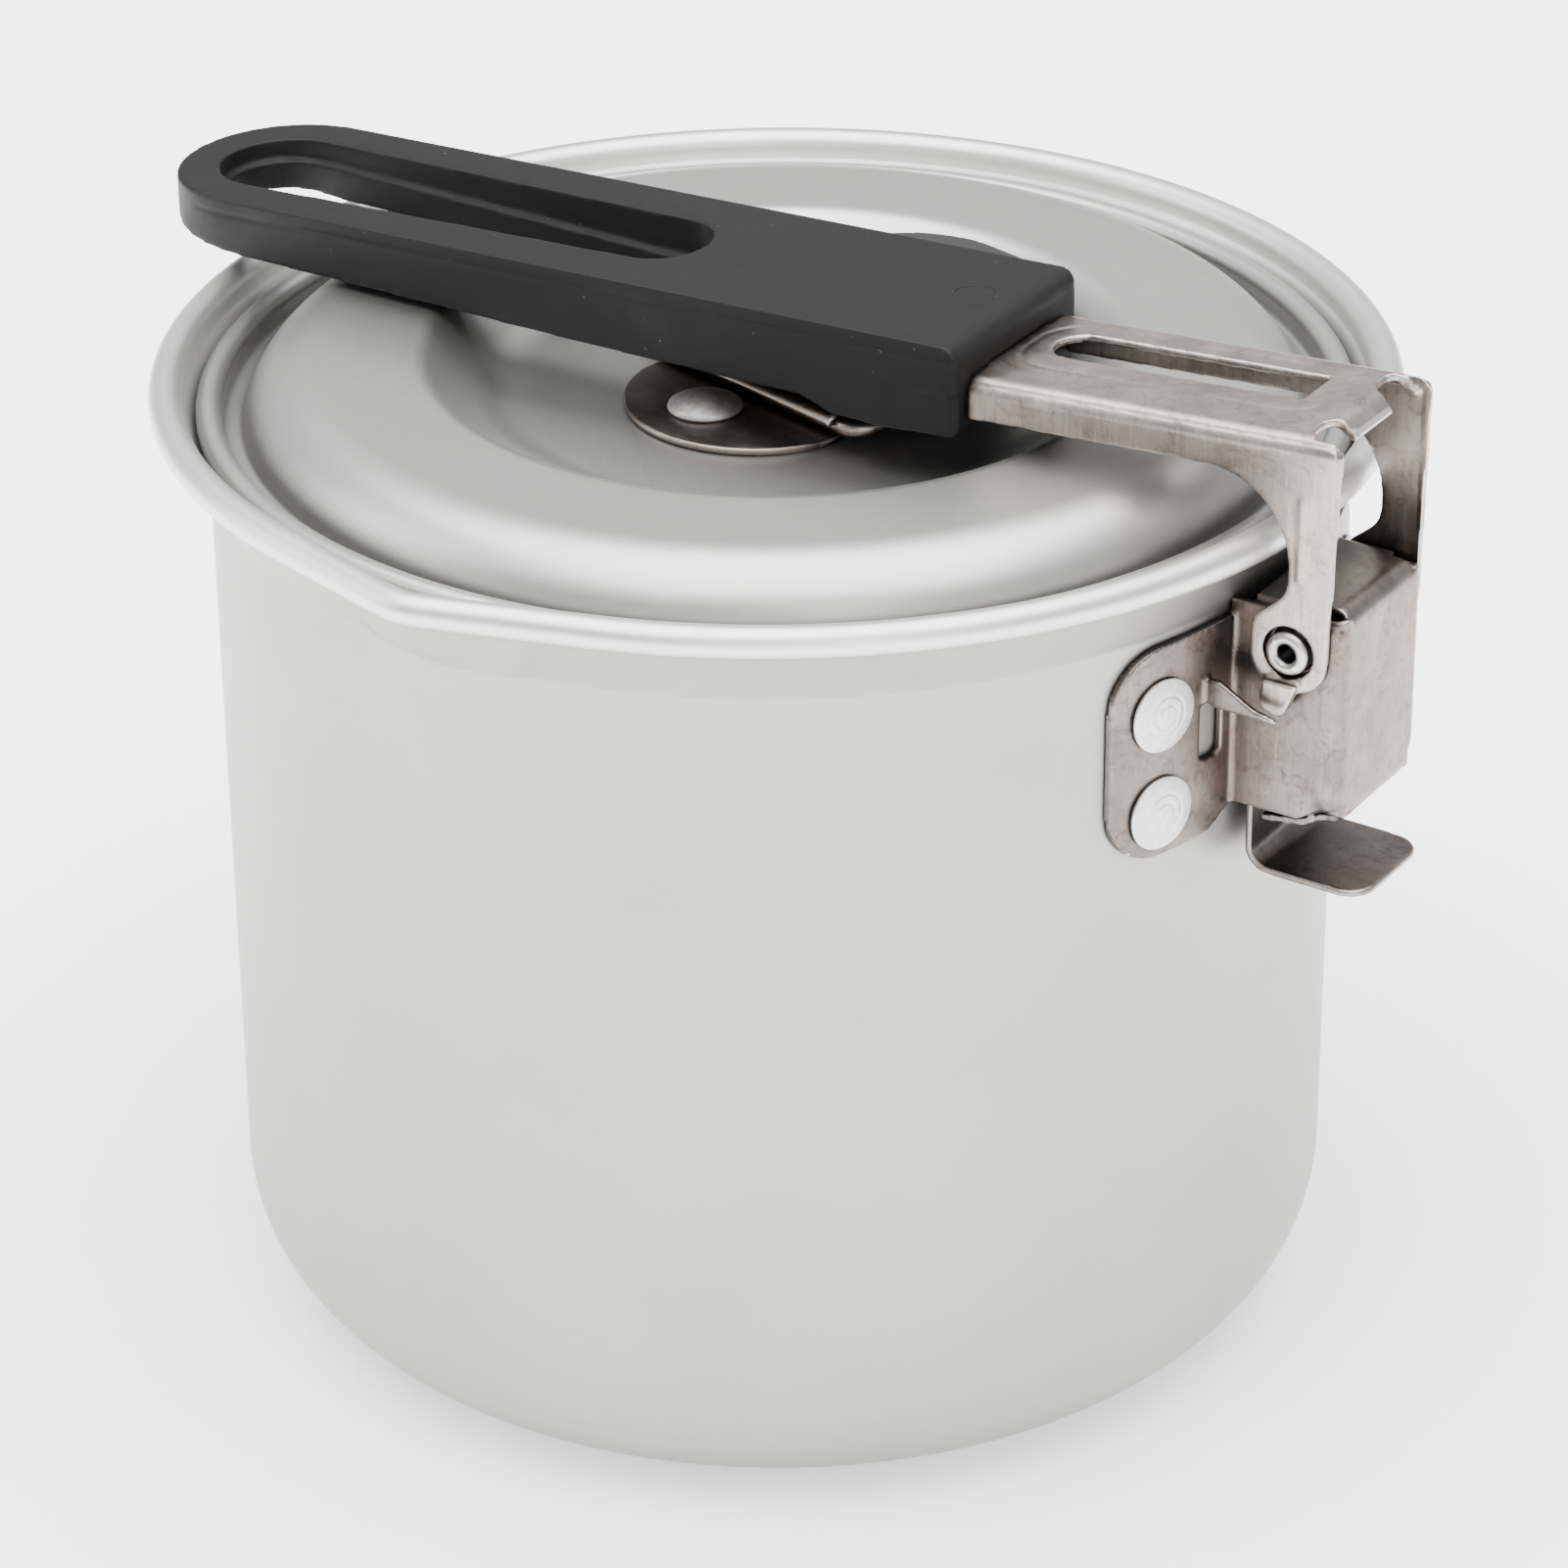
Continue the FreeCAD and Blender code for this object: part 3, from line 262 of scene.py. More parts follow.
def turned(name, profile, steps, change=None):
    """A surface of revolution about Z. A profile that begins or ends on the axis is closed there,
    and one whose ends are both off the axis is closed on itself. change moves the grid of points."""
    profile = np.asarray(profile, float)
    caps = profile[0, 0] < ON_AXIS, profile[-1, 0] < ON_AXIS
    rings = profile[int(caps[0]):len(profile) - int(caps[1])]
    angles = np.linspace(0.0, 2.0 * math.pi, steps, endpoint=False)
    radius = np.repeat(rings[:, 0][:, None], steps, axis=1)
    height = np.repeat(rings[:, 1][:, None], steps, axis=1)
    angle = np.repeat(angles[None, :], len(rings), axis=0)
    if change is not None:
        radius, height = change(radius, height, angle)
    points = np.stack([radius * np.cos(angle), radius * np.sin(angle), height], axis=-1)
    vertices = points.reshape(-1, 3).tolist()
    faces = []
    last = len(rings) - 1
    closed = not caps[0] and not caps[1]
    for row in range(last + int(closed)):
        following = (row + 1) % len(rings)
        for k in range(steps):
            side = (k + 1) % steps
            faces.append((row * steps + k, row * steps + side,
                          following * steps + side, following * steps + k))
    for present, row, tip in ((caps[0], 0, profile[0]), (caps[1], last, profile[-1])):
        if not present:
            continue
        vertices.append((0.0, 0.0, tip[1]))
        hub = len(vertices) - 1
        for k in range(steps):
            ends = (row * steps + (k + 1) % steps, row * steps + k)
            faces.append((hub,) + (ends if row == 0 else ends[::-1]))
    return mesh_object(name, vertices, faces)


def skin(name, node, voxel, rounds, tilt=0.0):
    """A fine, even copy of a CAD node's mesh with its sharp edges softened. tilt, in degrees, lays
    a sloping top level while the copy is made, so that its long edges stay straight."""
    source = bpy.data.objects.new(name + "_source", frame["nodes"][node].data.copy())
    level = Matrix.Rotation(math.radians(tilt), 4, "Y")
    source.data.transform(level)
    bpy.context.scene.collection.objects.link(source)
    weld = source.modifiers.new("weld", "WELD")
    weld.merge_threshold = WELD_GAP
    remesh = source.modifiers.new("remesh", "REMESH")
    remesh.mode = "VOXEL"
    remesh.voxel_size = voxel * MM * 1.0
    smooth = source.modifiers.new("smooth", "SMOOTH")
    smooth.factor = 0.5
    smooth.iterations = rounds
    bpy.context.view_layer.update()
    seen = source.evaluated_get(bpy.context.evaluated_depsgraph_get())
    mesh = bpy.data.meshes.new_from_object(seen)
    mesh.name = name
    mesh.transform(level.inverted())
    mesh.materials.clear()
    mesh.polygons.foreach_set("use_smooth", [True] * len(mesh.polygons))
    bpy.data.objects.remove(source)
    obj = bpy.data.objects.new(name, mesh)
    bpy.context.scene.collection.objects.link(obj)
    return obj


def reshape(obj, change):
    """Move a mesh's vertices: change takes and gives back an array of points in millimetres."""
    mesh = obj.data
    flat = np.empty(len(mesh.vertices) * 3)
    mesh.vertices.foreach_get("co", flat)
    points = change(flat.reshape(-1, 3) / MM)
    mesh.vertices.foreach_set("co", (points * MM).ravel())
    mesh.update()


def placed(obj, place, *turns):
    """Turn a mesh about its own axes, first turn first, and then carry it to its place."""
    matrix = Matrix.Translation(Vector(place) * MM)
    for angle, axis in reversed(turns):
        matrix = matrix @ Matrix.Rotation(math.radians(angle), 4, axis)
    obj.data.transform(matrix)
    return obj


def swept(name, sections):
    """A solid through closed loops that all have the same number of points."""
    rows, count = len(sections), len(sections[0])
    faces = []
    for row in range(rows - 1):
        for k in range(count):
            side = (k + 1) % count
            faces.append((row * count + k, row * count + side,
                          (row + 1) * count + side, (row + 1) * count + k))
    faces.append(tuple(range(count))[::-1])
    faces.append(tuple((rows - 1) * count + k for k in range(count)))
    return mesh_object(name, np.concatenate([np.asarray(loop, float) for loop in sections]), faces)


def plate_top(x):
    """Height of the handle frame's upper face, which rises a little towards the legs."""
    return FRAME_TOP + FRAME_SLOPE * (x - FRAME_TOP_AT)


def settle(obj, body, node, material):
    """Put a piece in place of its CAD node, on its body, with its finish."""
    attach(obj, body)
    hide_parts(node)
    obj.data.materials.clear()
    obj.data.materials.append(material)


# ---------------------------------------------------------------------------------------------
# Material helpers
# ---------------------------------------------------------------------------------------------


def srgb(red, green, blue):
    """Linear colour of an sRGB colour given from 0 to 255."""
    def linear(v):
        v = v / 255.0
        return v / 12.92 if v <= 0.04045 else ((v + 0.055) / 1.055) ** 2.4
    return (linear(red), linear(green), linear(blue), 1.0)


def set_stops(node, stops):
    """Give a colour ramp its stops, each a position and a grey level or a colour."""
    elements = node.color_ramp.elements
    while len(elements) < len(stops):
        elements.new(0.5)
    for element, (position, colour) in zip(elements, stops):
        element.position = position
        element.color = (colour, colour, colour, 1.0) if isinstance(colour, float) else colour


class Graph:
    """A material's node tree with short ways to add nodes."""

    def __init__(self, name):
        self.material = bpy.data.materials.new(name)
        self.material.use_nodes = True
        self.tree = self.material.node_tree
        self.shader = self.tree.nodes["Principled BSDF"]
        self.coordinates = self.add("ShaderNodeTexCoord")
        self.place = self.coordinates.outputs["Object"]

    def add(self, kind, **settings):
        node = self.tree.nodes.new(kind)
        for key, value in settings.items():
            setattr(node, key, value)
        return node

    def link(self, source, target):
        self.tree.links.new(source, target)

    def scaled(self, x, y, z):
        """The object's own coordinates, in metres, stretched along each axis."""
        node = self.add("ShaderNodeMapping")
        node.inputs["Scale"].default_value = (x, y, z)
        self.link(self.place, node.inputs["Vector"])
        return node.outputs["Vector"]

    def noise(self, scale, detail=3.0, rough=0.5, vector=None, twist=0.0):
        node = self.add("ShaderNodeTexNoise")
        node.inputs["Scale"].default_value = scale
        node.inputs["Detail"].default_value = detail
        node.inputs["Roughness"].default_value = rough
        node.inputs["Distortion"].default_value = twist
        self.link(vector or self.place, node.inputs["Vector"])
        return node.outputs["Fac"]

    def ramp(self, value, stops):
        node = self.add("ShaderNodeValToRGB")
        set_stops(node, stops)
        self.link(value, node.inputs["Fac"])
        return node.outputs["Color"]

    def mix(self, amount, first, second, blend="MIX"):
        node = self.add("ShaderNodeMix", data_type="RGBA", blend_type=blend)
        for socket, value in ((node.inputs[0], amount), (node.inputs[6], first),
                              (node.inputs[7], second)):
            if isinstance(value, (float, tuple)):
                socket.default_value = value
            else:
                self.link(value, socket)
        return node.outputs[2]

    def sum(self, first, second, how="ADD"):
        node = self.add("ShaderNodeMath", operation=how)
        for socket, value in zip(node.inputs, (first, second)):
            if isinstance(value, float):
                socket.default_value = value
            else:
                self.link(value, socket)
        return node.outputs[0]

    def bump(self, height, strength, distance, before=None):
        node = self.add("ShaderNodeBump")
        node.inputs["Strength"].default_value = strength
        node.inputs["Distance"].default_value = distance
        self.link(height, node.inputs["Height"])
        if before is not None:
            self.link(before, node.inputs["Normal"])
        return node.outputs["Normal"]

    def turning(self):
        """Radius about the pot's axis and height, so that a pattern runs round in rings."""
        parts = self.add("ShaderNodeSeparateXYZ")
        self.link(self.place, parts.inputs["Vector"])
        across = self.sum(self.sum(parts.outputs["X"], 2.0, "POWER"),
                          self.sum(parts.outputs["Y"], 2.0, "POWER"))
        rings = self.add("ShaderNodeCombineXYZ")
        self.link(self.sum(across, 0.5, "POWER"), rings.inputs["X"])
        self.link(parts.outputs["Z"], rings.inputs["Z"])
        return rings.outputs["Vector"]

    def rising(self, low, high):
        """0 below one height and 1 above another, both in metres."""
        parts = self.add("ShaderNodeSeparateXYZ")
        self.link(self.place, parts.inputs["Vector"])
        node = self.add("ShaderNodeMapRange")
        node.inputs["From Min"].default_value = low
        node.inputs["From Max"].default_value = high
        self.link(parts.outputs["Z"], node.inputs["Value"])
        return node.outputs["Result"]

    def inside(self):
        """1 on faces that look in towards the pot's axis or up, and 0 on the outside."""
        flat = self.add("ShaderNodeVectorMath", operation="MULTIPLY")
        self.link(self.place, flat.inputs[0])
        flat.inputs[1].default_value = (1.0, 1.0, 0.0)
        outward = self.add("ShaderNodeVectorMath", operation="NORMALIZE")
        self.link(flat.outputs["Vector"], outward.inputs[0])
        lean = self.add("ShaderNodeVectorMath", operation="ADD")
        self.link(outward.outputs["Vector"], lean.inputs[0])
        lean.inputs[1].default_value = (0.0, 0.0, -1.0)
        facing = self.add("ShaderNodeVectorMath", operation="DOT_PRODUCT")
        self.link(lean.outputs["Vector"], facing.inputs[0])
        self.link(self.coordinates.outputs["Normal"], facing.inputs[1])
        node = self.add("ShaderNodeMapRange")
        node.inputs["From Min"].default_value = 0.1
        node.inputs["From Max"].default_value = -0.2
        self.link(facing.outputs["Value"], node.inputs["Value"])
        return node.outputs["Result"]

    def sideways(self):
        """1 on faces that look along Y, and 0 on the others."""
        parts = self.add("ShaderNodeSeparateXYZ")
        self.link(self.coordinates.outputs["Normal"], parts.inputs["Vector"])
        return self.ramp(self.sum(parts.outputs["Y"], 2.0, "POWER"), [(0.35, 0.0), (0.8, 1.0)])

    def crevice(self, reach):
        """Near 0 deep in corners and gaps, and 1 in the open."""
        node = self.add("ShaderNodeAmbientOcclusion", samples=4)
        node.inputs["Distance"].default_value = reach
        return node.outputs["AO"]

    def pointed(self):
        """Above one half on outside edges and below it in hollows."""
        return self.add("ShaderNodeNewGeometry").outputs["Pointiness"]

    def use(self, **inputs):
        """Fill the shader's sockets with numbers or with other nodes' outputs."""
        for key, value in inputs.items():
            socket = self.shader.inputs[key.replace("_", " ")]
            if isinstance(value, (int, float, tuple)):
                socket.default_value = value
            else:
                self.link(value, socket)
        return self.material


MIDDLE_GREY = (0.5, 0.5, 0.5, 1.0)
# Painted light on the pot's rim: the heights, in metres, over which it comes in, and its pale colour.
RIM_PAINTED_LIGHT_FROM = 0.1198
RIM_PAINTED_LIGHT_TO = 0.1212
RIM_PAINTED_LIGHT = srgb(216, 215, 212)
# Dark grey painted as shade into the aluminium's crevices.
ALUMINIUM_PAINTED_SHADE = srgb(84, 83, 82)
# Pale colour for steel's outside edges: wear, with a painted highlight on top.
STEEL_EDGE_WEAR_AND_HIGHLIGHT = srgb(232, 226, 220)
# Dark colours painted as shade into steel's hollows and into its crevices.
STEEL_HOLLOW_PAINTED_SHADE = srgb(92, 84, 78)
STEEL_CREVICE_PAINTED_SHADE = srgb(64, 57, 51)
# Dark colour painted as shade into rivets' crevices.
RIVET_PAINTED_SHADE = srgb(80, 74, 68)
RUBBER_DUST = srgb(120, 114, 106)
# Grey for rubber's outside edges: wear, with a painted sheen.
RUBBER_EDGE_WEAR_AND_SHEEN = srgb(92, 88, 86)


def anodised_aluminium(name, dark, light, rough, rings=0.0, rim=1.0, shade_reach=0.003):
    """Clear-anodised satin aluminium: even, pale, with a fine sandy grain and faint turned rings."""
    g = Graph(name)
    cloud = g.noise(38.0, 4.0, 0.55)
    grain = g.noise(5200.0, 2.0, 0.6)
    tone = g.ramp(cloud, [(0.3, dark), (0.7, light)])
    colour = g.mix(0.06, tone, grain, "OVERLAY")
    turned_marks = g.noise(2600.0, 3.0, 0.6, g.turning())
    colour = g.mix(0.04 + 0.1 * rings, colour, turned_marks, "OVERLAY")
    # Painted shade: the colour goes towards a dark grey where ambient occlusion finds corners and
    # gaps.
    crevice = g.crevice(shade_reach)
    colour = g.mix(g.ramp(crevice, [(0.2, 0.55), (0.9, 0.0)]), colour, ALUMINIUM_PAINTED_SHADE)
    # Painted light: above a given height on the rim, and on faces that look inward or up, the colour
    # is lightened towards a pale grey, scaled by rim.
    painted_light_mask = g.sum(g.rising(RIM_PAINTED_LIGHT_FROM, RIM_PAINTED_LIGHT_TO), g.inside(), "MAXIMUM")
    rim_painted_light_amount = g.sum(painted_light_mask, rim, "MULTIPLY")
    colour = g.mix(rim_painted_light_amount, colour, RIM_PAINTED_LIGHT)
    roughness = g.ramp(grain, [(0.2, rough - 0.05), (0.8, rough + 0.05)])
    normal = g.bump(grain, 0.14, 0.00002)
    normal = g.bump(turned_marks, 0.05 + rings, 0.00003, normal)
    return g.use(Base_Color=colour, Metallic=1.0, Roughness=roughness, Normal=normal)


def stainless_sheet(name, dark, middle, light, stain, stain_amount):
    """Tumbled stamped stainless steel: warm grey, with worn edges, scratches and stains."""
    g = Graph(name)
    patches = g.noise(120.0, 5.0, 0.6)
    spots = g.noise(420.0, 4.0, 0.7, twist=1.5)
    broad = g.noise(70.0, 4.0, 0.6, twist=1.0)
    scratch_x = g.noise(90.0, 4.0, 0.75, g.scaled(1.0, 26.0, 26.0), twist=0.5)
    scratch_z = g.noise(70.0, 5.0, 0.8, g.scaled(30.0, 30.0, 2.2), twist=0.4)
    grain = g.noise(4200.0, 3.0, 0.6)
    tone = g.ramp(patches, [(0.25, dark), (0.5, middle), (0.75, light)])
    tone = g.mix(g.ramp(spots, [(0.54, 0.0), (0.67, stain_amount)]), tone, stain)
    ring = g.ramp(broad, [(0.49, 0.0), (0.53, stain_amount * 0.4), (0.57, 0.0)])
    tone = g.mix(ring, tone, stain)
    lines = g.sum(scratch_x, scratch_z)
    tone = g.mix(g.ramp(scratch_z, [(0.58, 0.0), (0.70, 0.55)]), tone, dark)
    tone = g.mix(g.ramp(scratch_x, [(0.63, 0.0), (0.70, 0.30)]), tone, light)
    stripes = g.noise(1500.0, 3.0, 0.7, g.scaled(1.0, 1.0, 0.07))
    stripes = g.mix(g.sideways(), MIDDLE_GREY, stripes)
    tone = g.mix(g.ramp(stripes, [(0.54, 0.0), (0.66, 0.55)]), tone, light)
    tone = g.mix(g.ramp(stripes, [(0.34, 0.45), (0.46, 0.0)]), tone, dark)
    scuffs = g.noise(700.0, 5.0, 0.75, g.scaled(1.0, 3.0, 3.0), twist=2.0)
    tone = g.mix(g.ramp(scuffs, [(0.58, 0.0), (0.68, 0.45)]), tone, light)
    edge_and_hollow = g.pointed()
    # Outside edges lighter: wear, with a painted highlight.
    tone = g.mix(g.ramp(edge_and_hollow, [(0.53, 0.0), (0.60, 0.8)]), tone, STEEL_EDGE_WEAR_AND_HIGHLIGHT)
    # Painted shade: hollows darker.
    tone = g.mix(g.ramp(edge_and_hollow, [(0.38, 0.6), (0.47, 0.0)]), tone, STEEL_HOLLOW_PAINTED_SHADE)
    # Painted shade: darker where ambient occlusion finds corners and gaps.
    crevice = g.crevice(0.010)
    tone = g.mix(g.ramp(crevice, [(0.2, 0.85), (0.9, 0.0)]), tone, STEEL_CREVICE_PAINTED_SHADE)
    roughness = g.ramp(g.mix(0.5, patches, scratch_x), [(0.3, 0.24), (0.7, 0.42)])
    normal = g.bump(lines, 0.16, 0.00008)
    normal = g.bump(stripes, 0.20, 0.00006, normal)
    normal = g.bump(grain, 0.14, 0.00002, normal)
    return g.use(Base_Color=tone, Metallic=1.0, Roughness=roughness, Normal=normal)


def rivet_aluminium(name, dark, light, pitting):
    """Soft aluminium with a pebbled, hammered face."""
    g = Graph(name)
    pits = g.noise(1300.0, 4.0, 0.65)
    tone = g.ramp(pits, [(0.3, dark), (0.7, light)])
    # Painted shade: darker where ambient occlusion finds corners and gaps.
    crevice = g.crevice(0.002)
    tone = g.mix(g.ramp(crevice, [(0.2, 0.7), (0.7, 0.0)]), tone, RIVET_PAINTED_SHADE)
    normal = g.bump(pits, pitting, 0.00008)
    return g.use(Base_Color=tone, Metallic=0.9, Roughness=0.5, Normal=normal)


def grip_rubber(name):
    """Matte black moulded rubber with scuffs, a brownish cast and specks of dust."""
    g = Graph(name)
    cloud = g.noise(90.0, 5.0, 0.65, twist=0.8)
    grain = g.noise(2600.0, 3.0, 0.6)
    specks = g.noise(900.0, 2.0, 0.5)
    tone = g.ramp(cloud, [(0.3, srgb(10, 10, 10)), (0.75, srgb(16, 15, 15))])
    tone = g.mix(g.ramp(specks, [(0.74, 0.0), (0.80, 0.35)]), tone, RUBBER_DUST)
    edge_and_hollow = g.pointed()
    # Outside edges lighter: wear, with a painted sheen.
    tone = g.mix(g.ramp(edge_and_hollow, [(0.53, 0.0), (0.62, 0.30)]), tone, RUBBER_EDGE_WEAR_AND_SHEEN)
    roughness = g.ramp(cloud, [(0.3, 0.50), (0.7, 0.64)])
    normal = g.bump(grain, 0.28, 0.00004)
    return g.use(Base_Color=tone, Roughness=roughness, Normal=normal, Specular_IOR_Level=0.22)


def knob_plastic(name):
    """Black glass-filled plastic, a little smoother than the grip."""
    g = Graph(name)
    grain = g.noise(1800.0, 3.0, 0.5)
    tone = g.ramp(grain, [(0.3, srgb(22, 22, 23)), (0.7, srgb(30, 30, 31))])
    normal = g.bump(grain, 0.2, 0.00003)
    return g.use(Base_Color=tone, Roughness=0.45, Normal=normal)


# ---------------------------------------------------------------------------------------------
# Pot and lid
# ---------------------------------------------------------------------------------------------


def spout_turn(angle):
    """Angle away from the middle of the spout, which faces -Y."""
    return np.abs((angle + math.pi / 2.0 + math.pi) % (2.0 * math.pi) - math.pi)


def spout_lip(radius, height, angle):
    """How far the lip is drawn out at the spout: two flats that meet in a soft corner."""
    rise = smooth_step((height - SPOUT_LIP_FOOT) / (RIM_HEIGHT - SPOUT_LIP_FOOT))
    reach = SPOUT_REACH * rise
    half = np.arccos(radius / (radius + reach + 1e-9))
    soft = np.sqrt(spout_turn(angle) ** 2 + SPOUT_TIP_SOFTNESS ** 2)
    return radius / np.cos(np.clip(half - soft, 0.0, None)) - radius


def spout_press(height, angle):
    """The triangle pressed out of the wall below the lip, with its point downward."""
    widening = SPOUT_SPREAD * (height - SPOUT_FOOT + SPOUT_POINT_DROP)
    half = np.radians(np.clip(widening, SPOUT_POINT_HALF, None))
    inside = 1.0 - smooth_step((spout_turn(angle) / half - SPOUT_SIDE_FROM) / SPOUT_SIDE_RUN)
    rise = smooth_step((height - SPOUT_FOOT) / SPOUT_RISE)
    fade = 1.0 - smooth_step((height - SHOULDER_HEIGHT) / SPOUT_FADE)
    return SPOUT_PRESS * inside * rise * fade


def pot_change(radius, height, angle):
    """Draw the spout out of the wall, and leave the base as it is."""
    push = spout_lip(radius, height, angle) + spout_press(height, angle)
    return radius + np.where(radius > SPOUT_INNER_LIMIT, push, 0.0), height


def pot_profile():
    """Outside of the pot from the middle of its base up, over the rolled rim and down inside."""
    inner = WALL_RADIUS - SHEET
    points = [(0.0, 0.0)]
    points += line((HUB_RADIUS, 0.0), (WALL_RADIUS - BASE_CORNER, 0.0), 12)
    points += arc((WALL_RADIUS - BASE_CORNER, BASE_CORNER), BASE_CORNER, -90, 0, 28)
    points += line((WALL_RADIUS, BASE_CORNER + WALL_FIRST_RING),
                   (WALL_RADIUS, SHOULDER_HEIGHT - WALL_LAST_RING), 60)
    slope = (FLARE_RADIUS - WALL_RADIUS) / (FLARE_HEIGHT - SHOULDER_HEIGHT)
    for rise in np.linspace(-SHOULDER_BEND, SHOULDER_BEND, 17):
        bend = slope * (math.sqrt(rise * rise + SHOULDER_SOFTNESS) + rise) / 2.0
        points.append((WALL_RADIUS + bend, SHOULDER_HEIGHT + rise))
    points += line((FLARE_RADIUS - slope * FLARE_STRAIGHT, FLARE_HEIGHT - FLARE_STRAIGHT),
                   (FLARE_RADIUS, FLARE_HEIGHT), 10)
    points += [(FLARE_RADIUS, FLARE_HEIGHT), RIM_SEAM]
    points += arc((RIM_RADIUS, RIM_HEIGHT), RIM_ROLL, RIM_SEAM_ANGLE, 180, 60)
    points += line((RIM_RADIUS - RIM_ROLL - RIM_TUCK[0], RIM_HEIGHT - RIM_TUCK[1]),
                   (FLARE_RADIUS - SHEET, FLARE_HEIGHT), 4)
    points += line((FLARE_RADIUS - SHEET, FLARE_HEIGHT), (inner, SHOULDER_HEIGHT), 12)
    points += line((inner, SHOULDER_HEIGHT), (inner, BASE_CORNER), 50)
    points += arc((inner - BASE_CORNER + SHEET, BASE_CORNER), BASE_CORNER - SHEET, 0, -90, 24)
    points += line((inner - BASE_CORNER, SHEET), (HUB_RADIUS, SHEET), 12)
    points.append((0.0, SHEET))
    return points


def make_pot(material):
    pot = turned("pot", pot_profile(), TURN_STEPS, pot_change)
    settle(pot, "pot", "pot_shell", material)


def lid_profile():
    """Underside of the lid from its middle out, round the bead and back over the top."""
    under = LID_FLOOR - LID_GAUGE
    edge = LID_RECESS_EDGE, LID_TOP - LID_EDGE_ROUND
    slope = math.radians(LID_RECESS_SLOPE)
    turn_in = (edge[0] - LID_EDGE_ROUND * math.sin(slope),
               edge[1] + LID_EDGE_ROUND * math.cos(slope))
    foot_height = LID_FLOOR + LID_RECESS_ROUND * (1.0 - math.cos(slope))
    run = (turn_in[1] - foot_height) / math.tan(slope)
    foot = turn_in[0] - run, foot_height
    hollow = foot[0] - LID_RECESS_ROUND * math.sin(slope), LID_FLOOR + LID_RECESS_ROUND
    shoulder = LID_SHOULDER - LID_GAUGE
    fold = edge[0] + LID_RECESS_FOLD
    under_top = LID_TOP - LID_GAUGE
    under_foot = hollow[0] + LID_UNDER_STOP
    flange_height = LID_SHOULDER_CENTRE[1]
    points = [(0.0, under)]
    points += line((HUB_RADIUS, under), (under_foot, under), 10)
    points += line((under_foot, under), (fold, under_top), 8)
    points += line((fold, under_top), (LID_TOP_EDGE, under_top), 4)
    points += arc(LID_SHOULDER_CENTRE, shoulder, 90, 0, 14)
    points += [(LID_FLAT_RADIUS - LID_FLANGE_RUN, flange_height - LID_FLANGE_DROP)]
    points += [(LID_FLAT_RADIUS, flange_height)]
    points += arc((LID_BEAD_RADIUS, LID_BEAD_HEIGHT), LID_BEAD_ROLL, LID_BEAD_START, LID_BEAD_END, 44)
    points += LID_GROOVE
    points += arc(LID_SHOULDER_CENTRE, LID_SHOULDER, LID_SHOULDER_START, 90, 34)
    points += line((LID_TOP_EDGE, LID_TOP), (fold, LID_TOP), 14)
    points += arc(edge, LID_EDGE_ROUND, 90, 90 + LID_RECESS_SLOPE, 12)
    points += line(turn_in, foot, 8)[1:]
    points += arc(hollow, LID_RECESS_ROUND, LID_RECESS_SLOPE - 90, -90, 12)
    points += line((hollow[0] - LID_FLOOR_STOP, LID_FLOOR), (HUB_RADIUS, LID_FLOOR), 14)
    points.append((0.0, LID_FLOOR))
    return points


def make_lid(material):
    lid = turned("lid", lid_profile(), TURN_STEPS)
    settle(lid, "lid", "lid_shell", material)


# ---------------------------------------------------------------------------------------------
# Rivets, hinge tube and knob plate
# ---------------------------------------------------------------------------------------------


def crowned_head(seat, rim, crown, head, inner, ring_depth):
    """Face of a rivet head from under its rim to its middle, with two faint rings."""
    points = [(inner, seat), (head - HEAD_UNDERCUT, seat)]
    points += arc((head - HEAD_EDGE, seat + HEAD_EDGE), HEAD_EDGE, -60, 40, 8)
    for radius in np.linspace(head - HEAD_UNDERCUT, HEAD_CENTRE, 40):
        dome = math.cos(radius / head * math.pi / 2.0) ** HEAD_CROWN_POWER
        height = rim + (crown - rim) * dome
        for ring in HEAD_RINGS:
            height -= ring_depth * math.exp(-((radius - ring) / HEAD_RING_WIDTH) ** 2)
        points.append((radius, height))
    points.append((0.0, crown))
    return points


def make_bracket_rivet(number, turn, height, material):
    name = "bracket_rivet_%d" % number
    points = [(0.0, RIVET_INSIDE), (RIVET_TAIL - RIVET_TAIL_EDGE[0], RIVET_INSIDE)]
    points += [(RIVET_TAIL, RIVET_INSIDE + RIVET_TAIL_EDGE[1]), (RIVET_TAIL, RIVET_WALL)]
    points += [(RIVET_SHANK, RIVET_WALL)]
    points += crowned_head(RIVET_SEAT, RIVET_RIM, RIVET_CROWN, RIVET_HEAD, RIVET_SHANK,
                           RIVET_RING_DEPTH)
    rivet = placed(turned(name + "_look", points, RIVET_STEPS), (0.0, 0.0, height),
                   (90, "Y"), (turn, "Z"))
    settle(rivet, "pot", name, material)


def make_bracket_rivets(material):
    number = 1
    for turn in (-RIVET_TURN, RIVET_TURN):
        for height in RIVET_HEIGHTS:
            make_bracket_rivet(number, turn, height, material)
            number += 1


def make_pivot_tube(material):
    points = [(TUBE_BORE, TUBE_HALF - TUBE_BORE_STOP), (TUBE_BORE, -TUBE_HALF + TUBE_BORE_STOP)]
    middle = TUBE_OUTER - TUBE_LIP
    points += arc((middle, -TUBE_HALF + TUBE_LIP), TUBE_LIP, 180, 360, 16)
    points += arc((middle, TUBE_HALF - TUBE_LIP), TUBE_LIP, 0, 180, 16)
    tube = placed(turned("pivot_tube_look", points, TUBE_STEPS), PIVOT, (-90, "X"))
    settle(tube, "pot", "pivot_tube", material)


